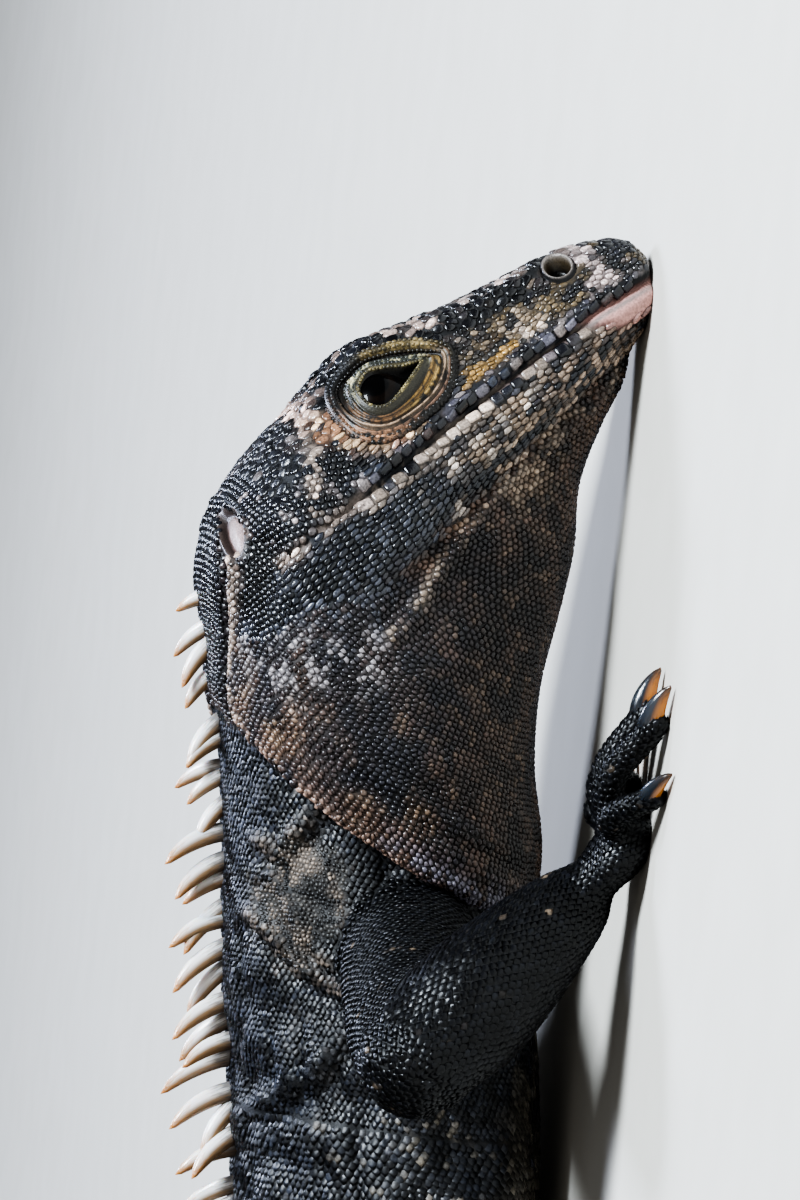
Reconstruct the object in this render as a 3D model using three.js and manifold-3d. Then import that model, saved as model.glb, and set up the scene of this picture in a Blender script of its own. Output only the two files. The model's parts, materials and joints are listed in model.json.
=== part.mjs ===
// A black spiny-tailed iguana at life size, a still model. It rests on the floor on its belly, feet and
// tail, with the neck arched and the nose brought down to the floor.
// Millimetres. +X is forward, +Y the animal's left and +Z up. The origin is on the floor, under the belly.
import * as THREE from "three";
import { mergeVertices } from "three/addons/utils/BufferGeometryUtils.js";
import Module from "manifold-3d";

const wasm = await Module();
wasm.setup();

// Driving dimensions
const GAP = 0.3; // left between two nodes that meet
const RIGHT = -1;
const LEFT = 1;
const HEAD_PITCH = 47.5; // degrees that the mouth line falls towards the nose
const MOUTH_TIP = new THREE.Vector3(212, 0, 0.8); // front end of the mouth line
const HEAD_REAR = 76; // distance back from the mouth's tip to the cut behind the ears
const JAW_FRONT_DEPTH = 5.5; // depth of the jaw under the mouth line at its front
const JAW_REAR_DEPTH = 23; // and at the cut behind the ears
const CHEST_REAR = 60.5; // where the chest ends and the belly begins
const BELLY_REAR = -59.5; // where the belly ends and the hips begin
const TAIL_ROOT = -121; // where the hips end and the tail begins
const TAIL_CUTS = [5, 10, 16, 22]; // the tail is parted ahead of these of its rings of spines
const SPINE_STEP = 5.4; // from one crest spine to the next
const SEED = 7; // of the small differences between like pieces

const FORWARD = new THREE.Vector3(Math.cos(rad(HEAD_PITCH)), 0, -Math.sin(rad(HEAD_PITCH)));
const CROWN = new THREE.Vector3(Math.sin(rad(HEAD_PITCH)), 0, Math.cos(rad(HEAD_PITCH)));
const SIDE = new THREE.Vector3(0, 1, 0);
const UP = new THREE.Vector3(0, 0, 1);

function rad(degrees) {
  return (degrees * Math.PI) / 180;
}

// A repeatable random number from -1 to 1.
let state = SEED;
function vary() {
  state = (state * 16807) % 2147483647;
  return (2 * state) / 2147483647 - 1;
}

// Sections of the head. at runs back from the mouth's tip and heights are above the mouth line.
const HEAD = [
  { at: -3.4, top: 4, base: 4, half: 0, widest: 0.4, square: 2, taper: 0 },
  { at: -2, top: 8, base: 0, half: 4.4, widest: 0.4, square: 2.2, taper: -0.05 },
  { at: 1.5, top: 10.4, base: -4.2, half: 6.6, widest: 0.4, square: 2.3, taper: -0.08 },
  { at: 8, top: 12.9, base: -6.4, half: 9, widest: 0.38, square: 2.4, taper: -0.1 },
  { at: 20, top: 14.8, base: -8.8, half: 12, widest: 0.36, square: 2.5, taper: -0.12 },
  { at: 32, top: 17, base: -11, half: 15.4, widest: 0.36, square: 2.5, taper: -0.12 },
  { at: 42, top: 19.2, base: -13.4, half: 19, widest: 0.36, square: 2.5, taper: -0.14 },
  { at: 51, top: 17.4, base: -15.8, half: 22.6, widest: 0.38, square: 2.4, taper: -0.12 },
  { at: 61, top: 15.8, base: -18.6, half: 25.4, widest: 0.42, square: 2.3, taper: -0.06 },
  { at: 71, top: 12.2, base: -21, half: 25.4, widest: 0.46, square: 2.2, taper: 0 },
  { at: 80, top: 4.6, base: -22, half: 21, widest: 0.5, square: 2.1, taper: 0 },
  { at: 86, top: -9, base: -9, half: 0, widest: 0.5, square: 2, taper: 0 },
];

// Sections of the neck and throat lobe. at is x and heights are above the floor.
const LOBE = [
  { at: 206, top: 3, base: 3, half: 0, widest: 0.6, square: 2, taper: 0 },
  { at: 200, top: 10, base: 1.4, half: 5.5, widest: 0.6, square: 2, taper: 0.1 },
  { at: 191, top: 20, base: 4.6, half: 9.5, widest: 0.65, square: 2, taper: 0.2 },
  { at: 182, top: 33, base: 6.8, half: 14, widest: 0.65, square: 2, taper: 0.28 },
  { at: 172, top: 46, base: 6.6, half: 19.5, widest: 0.62, square: 2.1, taper: 0.3 },
  { at: 162, top: 59.5, base: 7.8, half: 24, widest: 0.6, square: 2.1, taper: 0.28 },
  { at: 151, top: 60.4, base: 9.4, half: 27, widest: 0.58, square: 2.1, taper: 0.24 },
  { at: 139, top: 58.2, base: 9, half: 28.4, widest: 0.55, square: 2.1, taper: 0.18 },
  { at: 127, top: 56.2, base: 6.6, half: 28.4, widest: 0.5, square: 2.1, taper: 0.1 },
  { at: 114, top: 54.4, base: 6.6, half: 27.4, widest: 0.5, square: 2.1, taper: 0.06 },
  { at: 100, top: 52.4, base: 8, half: 26, widest: 0.5, square: 2.1, taper: 0.06 },
  { at: 88, top: 30, base: 30, half: 0, widest: 0.5, square: 2, taper: 0 },
];
const FOLD = [[145.5, 58.5], [131.5, 42.5], [117.5, 22], [115, 7]]; // the lobe's rear edge, x and height

// Sections of the torso, from inside the lobe to inside the tail.
const TORSO = [
  { at: 160, top: 40, base: 40, half: 0, widest: 0.5, square: 2, taper: 0 },
  { at: 151, top: 57.5, base: 26, half: 16, widest: 0.5, square: 2, taper: 0 },
  { at: 138, top: 57, base: 17, half: 21, widest: 0.5, square: 2.1, taper: 0 },
  { at: 122, top: 54.9, base: 10.5, half: 24, widest: 0.48, square: 2.2, taper: 0 },
  { at: 105, top: 53, base: 5.5, half: 27, widest: 0.45, square: 2.2, taper: 0 },
  { at: 87, top: 50, base: 2.6, half: 30, widest: 0.42, square: 2.2, taper: -0.04 },
  { at: 67, top: 47.4, base: 1, half: 33.5, widest: 0.4, square: 2.2, taper: -0.06 },
  { at: 42, top: 49.6, base: -0.2, half: 39, widest: 0.38, square: 2.2, taper: -0.08 },
  { at: 10, top: 54, base: -0.8, half: 44.5, widest: 0.38, square: 2.2, taper: -0.08 },
  { at: -25, top: 55, base: -0.8, half: 45, widest: 0.38, square: 2.2, taper: -0.08 },
  { at: -58, top: 51, base: -0.7, half: 38, widest: 0.4, square: 2.2, taper: -0.06 },
  { at: -86, top: 44.6, base: -0.2, half: 28, widest: 0.44, square: 2.1, taper: 0 },
  { at: -106, top: 39, base: 0.4, half: 21.5, widest: 0.47, square: 2.1, taper: 0 },
  { at: -124, top: 34.4, base: -0.2, half: 18, widest: 0.5, square: 2, taper: 0 },
  { at: -138, top: 15, base: 15, half: 0, widest: 0.5, square: 2, taper: 0 },
];

// The tail lies along this curve on the floor, and at runs along it.
const TAIL_PATH = new THREE.CatmullRomCurve3(
  [[-100, 0], [-165, 1], [-262, -12], [-368, -44], [-474, -50], [-574, -18], [-650, 40]].map(
    ([x, y]) => new THREE.Vector3(x, y, 0),
  ),
  false,
  "centripetal",
);
const TAIL_LENGTH = TAIL_PATH.getLength();
const TAIL = [
  { at: 4, top: 16, base: 16, half: 0 },
  { at: 10, top: 35, base: 1, half: 18.5 },
  { at: 26, top: 34, base: -0.3, half: 17.9 },
  { at: 66, top: 29.8, base: -0.3, half: 15.2 },
  { at: 126, top: 24.4, base: -0.3, half: 12.4 },
  { at: 206, top: 18.8, base: -0.3, half: 9.6 },
  { at: 296, top: 13.6, base: -0.3, half: 7 },
  { at: 386, top: 9.6, base: -0.3, half: 5 },
  { at: 476, top: 6.2, base: -0.3, half: 3.3 },
  { at: 548, top: 3.8, base: -0.25, half: 2.1 },
  { at: TAIL_LENGTH - 6, top: 2, base: -0.2, half: 1.1 },
  { at: TAIL_LENGTH, top: 0.9, base: 0.9, half: 0 },
].map((section) => ({ widest: 0.5, square: 2, taper: 0, ...section }));

// Each leg: its joints, the radii along its two lengths, and its foot. Headings are degrees from forward,
// outwards from the body. A toe has its turn from the foot's heading, its length and its root's thickness.
const FORE_TOES = [
  { turn: -44, length: 10, thick: 2.4 },
  { turn: -20, length: 14, thick: 2.6 },
  { turn: 2, length: 17, thick: 2.7 },
  { turn: 24, length: 17, thick: 2.7 },
  { turn: 56, length: 12, thick: 2.4 },
];
const HIND_TOES = [
  { turn: -34, length: 14, thick: 2.8 },
  { turn: -17, length: 23, thick: 3 },
  { turn: -3, length: 32, thick: 3.1 },
  { turn: 11, length: 40, thick: 3.1 },
  { turn: 52, length: 20, thick: 2.8 },
];
const ARM = {
  upper: [11, 10.6, 10.2, 9.2], lower: [9.2, 9.8, 8.4, 6], palm: 7.4, arch: 4.2, toes: FORE_TOES,
};
const LEG = {
  upper: [15.5, 15, 13, 9.8], lower: [9.8, 10.4, 8.4, 6], palm: 8, arch: 2, toes: HIND_TOES,
};
const LEGS = [
  { name: "right", kind: ARM, side: RIGHT, root: [112, 15, 27], knee: [97, 63, 31], ankle: [121, 53, 9.4],
    foot: 8, heading: 0 },
  { name: "left", kind: ARM, side: LEFT, root: [106, 15, 27], knee: [84, 62, 29], ankle: [108, 60, 9.2],
    foot: 8, heading: 14 },
  { name: "right", kind: LEG, side: RIGHT, root: [-88, 14, 24], knee: [-50, 67, 30], ankle: [-98, 86, 9.6],
    foot: 26, heading: 24 },
  { name: "left", kind: LEG, side: LEFT, root: [-90, 14, 24], knee: [-64, 68, 29], ankle: [-114, 84, 9.6],
    foot: 26, heading: 30 },
];

// The features of the head. at and up are measured as its sections are, and sunk is from the skin inwards.
const EYE = { at: 43, up: 12.9, sunk: 5.2, radius: 6 };
const LID = { at: 42.2, up: 13, sunk: 0, long: 7.2, tall: 4.8, thick: 1.2, tilt: 10 };
const NOSTRIL = { at: 9.4, up: 9.4, sunk: 0, ring: 2.3, thick: 0.75, depth: 3 };
const EAR = { at: 70, up: 5.8, sunk: 1, long: 3, tall: 4.2, thick: 1 };
const BROW = { from: 32, to: 52, height: 0.86, sunk: 0.7, thick: 2.4 }; // height is a share of the crown's
const LIP = { from: 3, to: 51, up: 0, sunk: 1.1, thick: 2.2 };

// Materials
const MATERIALS = {
  head: { color: 0x5a5048, roughness: 0.55 },
  throat: { color: 0x4d4038, roughness: 0.6 },
  body: { color: 0x2b2c30, roughness: 0.55 },
  limb: { color: 0x18181b, roughness: 0.5 },
  tail: { color: 0x3a3836, roughness: 0.6 },
  eye: { color: 0x120d0a, roughness: 0.08 },
  ear: { color: 0xb3a59a, roughness: 0.45 },
};
for (const [name, settings] of Object.entries(MATERIALS)) {
  MATERIALS[name] = new THREE.MeshStandardMaterial({ name, metalness: 0, ...settings });
}

// Solids

function solid(geometry) {
  geometry.deleteAttribute("normal");
  geometry.deleteAttribute("uv");
  const merged = mergeVertices(geometry, 1e-4);
  const triVerts = new Uint32Array(merged.index.array);
  const vertProperties = new Float32Array(merged.attributes.position.array);
  const made = new wasm.Manifold(new wasm.Mesh({ numProp: 3, vertProperties, triVerts }));
  if (made.volume() > 0) return made;
  for (let i = 0; i < triVerts.length; i += 3) {
    [triVerts[i + 1], triVerts[i + 2]] = [triVerts[i + 2], triVerts[i + 1]];
  }
  return new wasm.Manifold(new wasm.Mesh({ numProp: 3, vertProperties, triVerts }));
}

function joined(solids) {
  return solids.reduce((whole, piece) => whole.add(piece));
}

// Keeps what lies on the side of the plane that its normal points to, less half the gap.
function keep(whole, normal, point, gap = GAP) {
  const unit = normal.clone().normalize();
  return whole.trimByPlane(unit.toArray(), unit.dot(point) + gap / 2);
}

function largest(whole) {
  return whole.decompose().reduce((best, next) => (next.volume() > best.volume() ? next : best));
}

// The value a fraction of the way from a to b, on a smooth curve through before, a, b and after.
function smooth(before, a, b, after, t) {
  const slopeA = (b - before) / 2;
  const slopeB = (after - a) / 2;
  const rise = b - a;
  return a + t * (slopeA + t * (3 * rise - 2 * slopeA - slopeB + t * (slopeA + slopeB - 2 * rise)));
}

// The section at t, from 0 at the first section to 1 at the last.
function sectionAt(sections, t) {
  const last = sections.length - 1;
  const i = Math.min(Math.floor(t * last), last - 1);
  const four = [Math.max(i - 1, 0), i, i + 1, Math.min(i + 2, last)].map((k) => sections[k]);
  const made = {};
  for (const key of Object.keys(sections[0])) {
    made[key] = smooth(...four.map((section) => section[key]), t * last - i);
  }
  return made;
}

// The section at a place along the tube, such as an x or a distance.
function sectionAtPlace(sections, at) {
  let low = 0;
  let high = 1;
  const falling = sections[0].at > sections.at(-1).at;
  for (let step = 0; step < 24; step++) {
    const middle = (low + high) / 2;
    if (sectionAt(sections, middle).at < at === falling) high = middle;
    else low = middle;
  }
  return sectionAt(sections, (low + high) / 2);
}

// The side and height of a point of a section's outline. Angle 0 is the left side and a quarter turn the top.
function outline(section, angle, grow = 0) {
  const power = 2 / section.square;
  const swell = section.half > 0 ? grow : 0;
  const across = Math.cos(angle);
  const rise = Math.sin(angle);
  const middle = section.base + section.widest * (section.top - section.base);
  const reach = (rise > 0 ? section.top - middle : middle - section.base) + swell;
  const half = (section.half + swell) * (1 + section.taper * rise);
  return [
    half * Math.sign(across) * Math.abs(across) ** power,
    middle + reach * Math.sign(rise) * Math.abs(rise) ** power,
  ];
}

// A closed tube through the sections: a sphere whose vertices are moved to their outlines.
function tube(sections, place, around, rings, grow = 0) {
  const shape = new THREE.SphereGeometry(1, around, rings);
  const uv = shape.getAttribute("uv");
  const spots = shape.getAttribute("position");
  for (let i = 0; i < spots.count; i++) {
    const section = sectionAt(sections, 1 - uv.getY(i));
    const point = place(section.at, ...outline(section, uv.getX(i) * 2 * Math.PI, grow));
    spots.setXYZ(i, ...point);
  }
  return solid(shape);
}

function inHead(at, side, up) {
  return MOUTH_TIP.clone()
    .addScaledVector(FORWARD, -at)
    .addScaledVector(SIDE, side)
    .addScaledVector(CROWN, up);
}

function inBody(at, side, up) {
  return new THREE.Vector3(at, side, up);
}

// Places round a curve: at runs from 0 at its start to span at its end, and straight on beyond both.
function along(curve, span) {
  const length = curve.getLength();
  return (at, across, rise) => {
    const u = THREE.MathUtils.clamp(at / span, 0, 1);
    const way = curve.getTangentAt(u);
    const side = new THREE.Vector3().crossVectors(UP, way).normalize();
    const up = new THREE.Vector3().crossVectors(way, side).normalize();
    return curve.getPointAt(u)
      .addScaledVector(way, (at / span - u) * length)
      .addScaledVector(side, across)
      .addScaledVector(up, rise);
  };
}
const alongTail = along(TAIL_PATH, TAIL_LENGTH);

// A length of limb or toe with round ends, whose radii are given at even steps.
function limb(points, radii, around = 9, rings = 7, flat = 1) {
  const curve = new THREE.CatmullRomCurve3(points, false, "centripetal");
  const length = curve.getLength();
  const ends = [radii[0], radii.at(-1)].map((radius) => radius / length);
  const sections = [
    { at: -ends[0], radius: 0 },
    { at: -0.7 * ends[0], radius: 0.7 * radii[0] },
    ...radii.map((radius, i) => ({ at: i / (radii.length - 1), radius })),
    { at: 1 + 0.7 * ends[1], radius: 0.7 * radii.at(-1) },
    { at: 1 + ends[1], radius: 0 },
  ].map(({ at, radius }) => ({
    at, top: radius * flat, base: -radius * flat, half: radius, widest: 0.5, square: 2, taper: 0,
  }));
  return tube(sections, along(curve, 1), around, rings);
}

function ball(centre, radii) {
  const shape = new THREE.SphereGeometry(1, 12, 8).scale(...radii);
  return solid(shape.translate(...centre));
}

// A curved claw or spine: a cone of few sides whose tip bends away.
function thorn(root, out, back, length, thick, wide, bend, sides = 4, steps = 2) {
  const across = new THREE.Vector3().crossVectors(out, back).normalize();
  const shape = new THREE.ConeGeometry(1, 1, sides, steps).translate(0, 0.5, 0);
  const spots = shape.getAttribute("position");
  for (let i = 0; i < spots.count; i++) {
    const rise = spots.getY(i);
    const point = root.clone()
      .addScaledVector(out, length * rise * (1 - 0.25 * bend * rise))
      .addScaledVector(back, thick * spots.getZ(i) + length * bend * rise * rise)
      .addScaledVector(across, wide * spots.getX(i));
    spots.setXYZ(i, ...point);
  }
  return solid(shape);
}

// Head

// A ring of lid or nostril rim, laid in the plane of the two directions.
function rim(centre, long, tall, longWay, tallWay, thick, steps = 14) {
  const shape = new THREE.TorusGeometry(1, 0.3, 4, steps);
  const spots = shape.getAttribute("position");
  const out = new THREE.Vector3().crossVectors(longWay, tallWay).normalize();
  for (let i = 0; i < spots.count; i++) {
    const flat = Math.hypot(spots.getX(i), spots.getY(i));
    const turn = Math.atan2(spots.getY(i), spots.getX(i));
    const beyond = ((flat - 1) / 0.3) * thick;
    const point = centre.clone()
      .addScaledVector(longWay, (long + beyond) * Math.cos(turn))
      .addScaledVector(tallWay, (tall + beyond) * Math.sin(turn))
      .addScaledVector(out, (spots.getZ(i) / 0.3) * thick);
    spots.setXYZ(i, ...point);
  }
  return solid(shape);
}

// The skin of the head at a distance back from the mouth's tip and a height above the mouth line.
function onHead({ at, up, sunk = 0 }, side) {
  const section = sectionAtPlace(HEAD, at);
  const middle = section.base + section.widest * (section.top - section.base);
  const reach = up > middle ? section.top - middle : section.base - middle;
  const rise = Math.min(Math.abs((up - middle) / reach), 0.999) ** (section.square / 2);
  const angle = Math.asin(rise) * Math.sign(up - middle);
  const [across, height] = outline(section, angle);
  const [nextAcross, nextHeight] = outline(section, angle + 0.05);
  const out = SIDE.clone().multiplyScalar(side * (nextHeight - height))
    .addScaledVector(CROWN, across - nextAcross).normalize();
  return { out, point: inHead(at, side * across, height).addScaledVector(out, -sunk) };
}

function lid(side) {
  const { out, point } = onHead(LID, side);
  const tilt = rad(LID.tilt);
  const level = FORWARD.clone().multiplyScalar(Math.cos(tilt)).addScaledVector(CROWN, -Math.sin(tilt));
  const tallWay = new THREE.Vector3().crossVectors(out, level).multiplyScalar(side).normalize();
  const longWay = new THREE.Vector3().crossVectors(tallWay, out).multiplyScalar(side).normalize();
  return rim(point, LID.long, LID.tall, longWay, tallWay, LID.thick);
}

function brow(side) {
  const { from, to, height, sunk, thick } = BROW;
  const points = [from, (from + to) / 2, to].map((at) => {
    return onHead({ at, up: height * sectionAtPlace(HEAD, at).top, sunk }, side).point;
  });
  return limb(points, [thick * 0.6, thick, thick * 0.7], 6, 6);
}

// The lips of one side, along the mouth line.
function lips(side) {
  const { from, to, thick } = LIP;
  const points = [0, 0.35, 0.7, 1].map((t) => onHead({ ...LIP, at: from + t * (to - from) }, side).point);
  return limb(points, [thick * 0.85, thick, thick, thick * 0.7], 6, 6);
}

function nostrilRim(side) {
  const { out, point } = onHead(NOSTRIL, side);
  const tallWay = new THREE.Vector3().crossVectors(out, FORWARD).normalize();
  return rim(point, NOSTRIL.ring + 0.3, NOSTRIL.ring, FORWARD, tallWay, NOSTRIL.thick, 10);
}

// A short round post square to the skin, with its middle a distance out from it.
function post({ at, up }, side, long, tall, depth, outward, sides) {
  const { out, point } = onHead({ at, up, sunk: -outward }, side);
  const shape = new THREE.CylinderGeometry(1, 1, depth, sides).scale(long, 1, tall);
  const across = new THREE.Vector3().crossVectors(FORWARD, out).normalize();
  const pose = new THREE.Matrix4().makeBasis(FORWARD, out, across);
  return solid(shape.applyMatrix4(pose).translate(...point));
}

function nostrilPit(side) {
  return post(NOSTRIL, side, NOSTRIL.ring - 0.5, NOSTRIL.ring - 0.7, 2 * NOSTRIL.depth, 0.5, 10);
}

// The eardrum lies in a shallow cup of the head.
function ear(side) {
  return post(EAR, side, EAR.long, EAR.tall, EAR.thick, -EAR.sunk, 14);
}

function earCup(side) {
  const depth = 6;
  const floor = EAR.sunk + EAR.thick / 2 + GAP;
  return post(EAR, side, EAR.long + GAP, EAR.tall + GAP, depth, depth / 2 - floor, 14);
}

const headTube = tube(HEAD, inHead, 20, 22);

// The neck and throat lobe, cut off behind along the fold.
function makeLobe(grow, gap) {
  let made = tube(LOBE, inBody, 18, 16, grow);
  for (let i = 1; i < FOLD.length; i++) {
    const [upper, lower] = [FOLD[i - 1], FOLD[i]].map(([x, z]) => inBody(x, 0, z));
    made = keep(made, new THREE.Vector3().crossVectors(SIDE, upper.clone().sub(lower)), lower, gap);
  }
  return made;
}
const lobe = makeLobe(0, 0);
const lobeGrown = makeLobe(GAP, -2 * GAP);
const headAndLobe = headTube.add(lobe);

const headRear = inHead(HEAD_REAR, 0, 0);
const jawCorner = inHead(HEAD_REAR, 0, -JAW_REAR_DEPTH);
const jawLine = inHead(3, 0, -JAW_FRONT_DEPTH).sub(jawCorner);
const aboveJaw = new THREE.Vector3().crossVectors(jawLine, SIDE).normalize();
const headBlock = joined([
  keep(keep(headAndLobe, FORWARD, headRear), aboveJaw, jawCorner),
  lips(RIGHT),
  lips(LEFT),
]);
const underJaw = keep(headAndLobe, aboveJaw.clone().negate(), jawCorner);
const THROAT_WAY = new THREE.Vector3(1, 0, -0.16); // square to the cut between the throat and the neck

function eye(side, grow = 0) {
  return ball(onHead(EYE, side).point, Array(3).fill(EYE.radius + grow));
}

function head() {
  let made = keep(headBlock, CROWN, MOUTH_TIP);
  for (const side of [RIGHT, LEFT]) {
    made = joined([made, brow(side), lid(side), nostrilRim(side)]);
    made = made.subtract(eye(side, GAP)).subtract(nostrilPit(side)).subtract(earCup(side));
  }
  return joined([made, ...crest(163.5, 163.5)]);
}

// Crest and tail spines

// Height of a crest spine above the back, by its place along it.
const CREST = [
  { at: 168, height: 2.6 },
  { at: 158, height: 5.4 },
  { at: 145, height: 8.4 },
  { at: 118, height: 10 },
  { at: 95, height: 12 },
  { at: 60, height: 11 },
  { at: 0, height: 8.5 },
  { at: -60, height: 6 },
  { at: -100, height: 4.4 },
  { at: -124, height: 3 },
];
const CREST_SINK = 2.2; // how far a spine's root is sunk into the back

function backHeight(x) {
  const torso = x < 158 ? sectionAtPlace(TORSO, x).top : 0;
  const neck = x > 118 ? sectionAtPlace(LOBE, x).top : 0;
  return Math.max(torso, neck);
}

// Crest spines at even steps from one place on the back to another.
function crest(from, to) {
  const steps = Math.round((from - to) / SPINE_STEP);
  return Array.from({ length: steps + 1 }, (_, i) => {
    const x = from + ((to - from) * i) / Math.max(steps, 1);
    const height = sectionAtPlace(CREST, x).height * (1 + 0.14 * vary());
    const slope = (backHeight(x + 1) - backHeight(x - 1)) / 2;
    const out = new THREE.Vector3(-slope - 0.2 + 0.06 * vary(), 0.07 * vary(), 1).normalize();
    const back = new THREE.Vector3(-1, 0, -slope).normalize();
    const root = new THREE.Vector3(x, 0, backHeight(x) - CREST_SINK);
    return thorn(root, out, back, height + CREST_SINK, 1.8, 1.2, 0.34, 4, 2);
  });
}

const WHORL_SPINES = 7; // in each ring, over the back and sides
const WHORL_LIFT = 0.5; // how far each spine stands out for each length that it leans back
const TIP_SPINES = 5; // in the rings where the tail is thin
const THIN = 8; // half width of the tail there
const WHORLS = []; // each ring's place along the tail, the section there and the step to the next ring
for (let at = 36; at < 480; at += WHORLS.at(-1).step) {
  const section = sectionAtPlace(TAIL, at);
  WHORLS.push({ at, section, step: 12.5 + 0.42 * section.half });
}

// A ring of spiny scales round the tail.
function whorl({ at, section, step }) {
  const count = section.half > THIN ? WHORL_SPINES : TIP_SPINES;
  const wide = (0.86 * Math.PI * section.half) / count;
  return Array.from({ length: count }, (_, k) => {
    const angle = rad(-18 + (216 * k) / (count - 1));
    const [side, up] = outline(section, angle);
    const skin = alongTail(at, side, up);
    const outward = alongTail(at, ...outline(section, angle, 1)).sub(skin).normalize();
    const back = alongTail(at + 1, side, up).sub(skin).normalize();
    const lean = back.clone().addScaledVector(outward, WHORL_LIFT).normalize();
    const rise = new THREE.Vector3().crossVectors(lean, new THREE.Vector3().crossVectors(outward, lean));
    const root = skin.addScaledVector(outward, -0.14 * section.half).addScaledVector(back, -0.25 * step);
    const length = 0.64 * step * (1 + 0.1 * vary());
    return thorn(root, lean, rise.normalize(), length, 0.7 * wide, wide, 0, 3, 1);
  });
}

// Legs

// A toe that rises from the foot, comes down on its pad, and ends in a curved claw.
function toe(root, way, length, thick, lift) {
  const arch = root.clone().addScaledVector(way, length * 0.42).setZ(thick + lift);
  const tip = root.clone().addScaledVector(way, length).setZ(thick * 0.78 - 0.15);
  const claw = thorn(
    tip.clone().addScaledVector(way, -thick * 0.4).setZ(tip.z + thick * 0.25),
    way.clone().setZ(0.12).normalize(), UP.clone().negate(), 8.4, thick * 0.72, thick * 0.5, 0.34, 4, 2,
  );
  return limb([root, arch, tip], [thick, thick * 0.9, thick * 0.8], 5, 5).add(claw);
}

function makeLeg({ name, kind, side, root, knee, ankle, foot, heading }) {
  const sided = ([x, y, z]) => new THREE.Vector3(x, side * y, z);
  const [top, bend, low] = [root, knee, ankle].map(sided);
  const level = (degrees) => new THREE.Vector3(Math.cos(rad(degrees)), side * Math.sin(rad(degrees)), 0);
  const sole = low.clone().addScaledVector(level(heading), foot).setZ(kind.toes[0].thick + 1.4);
  const whole = joined([
    limb([top, bend], kind.upper),
    limb([bend, low], kind.lower),
    limb([low, sole], [kind.palm * 0.72, kind.palm], 9, 5, 0.56),
  ]);
  const toes = kind.toes.map(({ turn, length, thick }) => {
    const way = level(heading + turn);
    return toe(sole.clone().addScaledVector(way, kind.palm * 0.5), way, length, thick, kind.arch);
  });
  const bendWay = bend.clone().sub(top).normalize().add(low.clone().sub(bend).normalize());
  const lowWay = low.clone().sub(bend).normalize().add(sole.clone().sub(low).normalize());
  const under = keep(whole, bendWay, bend);
  const names = kind === ARM ? ["upper_arm", "forearm", "hand"] : ["thigh", "shin", "foot"];
  return {
    [`${names[0]}_${name}`]: largest(keep(whole, bendWay.clone().negate(), bend)).subtract(bodyGrown),
    [`${names[1]}_${name}`]: largest(keep(under, lowWay.clone().negate(), low)).subtract(bodyGrown),
    [`${names[2]}_${name}`]: joined([largest(keep(under, lowWay, low)), ...toes]).subtract(bodyGrown),
  };
}

// Body and tail

const torso = tube(TORSO, inBody, 20, 24);
const torsoGrown = tube(TORSO, inBody, 20, 24, GAP);
const bodyGrown = torsoGrown.add(lobeGrown);
const tail = tube(TAIL, alongTail, 12, 24);

// The part of the torso between two places along it, front first.
function slice(front, rear) {
  let made = torso;
  if (front !== null) made = keep(made, new THREE.Vector3(-1, 0, 0), inBody(front, 0, 0));
  return keep(made, new THREE.Vector3(1, 0, 0), inBody(rear, 0, 0));
}

// The length of tail that bears the rings from one to another, cut square to its path ahead of each.
function tailLength(first, next) {
  const cut = (ring) => WHORLS[ring].at - 0.4 * WHORLS[ring].step;
  const way = (at) => TAIL_PATH.getTangentAt(at / TAIL_LENGTH);
  let made = first === 0 ? keep(tail, new THREE.Vector3(-1, 0, 0), inBody(TAIL_ROOT, 0, 0))
    : keep(tail, way(cut(first)), alongTail(cut(first), 0, 0));
  if (next < WHORLS.length) made = keep(made, way(cut(next)).negate(), alongTail(cut(next), 0, 0));
  return joined([largest(made), ...WHORLS.slice(first, next).flatMap(whorl)]);
}

// Nodes, in nested groups

const lizard = new THREE.Group();

function addGroup(nodes, material) {
  const group = new THREE.Group();
  for (const [name, made] of Object.entries(nodes)) {
    const mesh = largest(made.trimByPlane([0, 0, 1], 0)).getMesh();
    const geometry = new THREE.BufferGeometry();
    geometry.setAttribute("position", new THREE.BufferAttribute(mesh.vertProperties, 3));
    geometry.setIndex(new THREE.BufferAttribute(mesh.triVerts, 1));
    geometry.computeVertexNormals();
    const node = new THREE.Mesh(geometry, MATERIALS[material].clone());
    node.name = name;
    group.add(node);
  }
  lizard.add(group);
  return group;
}

const skull = addGroup({ head: head(), jaw: keep(headBlock, CROWN.clone().negate(), MOUTH_TIP) }, "head");
skull.add(addGroup({ eye_right: eye(RIGHT), eye_left: eye(LEFT) }, "eye"));
skull.add(addGroup({ ear_right: ear(RIGHT), ear_left: ear(LEFT) }, "ear"));

addGroup({
  throat: keep(underJaw, THROAT_WAY, jawCorner),
  neck: joined([
    keep(headAndLobe, FORWARD.clone().negate(), headRear),
    keep(underJaw, THROAT_WAY.clone().negate(), jawCorner),
    ...crest(158, 148.3),
  ]),
}, "throat");

addGroup({
  chest: joined([largest(slice(null, CHEST_REAR).subtract(lobeGrown)), ...crest(141.8, CHEST_REAR + 2.6)]),
  belly: joined([slice(CHEST_REAR, BELLY_REAR), ...crest(CHEST_REAR - 2.4, BELLY_REAR + 2.6)]),
  hips: joined([slice(BELLY_REAR, TAIL_ROOT), ...crest(BELLY_REAR - 2.4, TAIL_ROOT + 3)]),
}, "body");

for (const leg of LEGS) {
  addGroup(makeLeg(leg), "limb");
}

const tailNodes = {};
[0, ...TAIL_CUTS].forEach((first, i) => {
  tailNodes[`tail_${i + 1}`] = tailLength(first, TAIL_CUTS[i] ?? WHORLS.length);
});
addGroup(tailNodes, "tail");

export default lizard;
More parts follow.
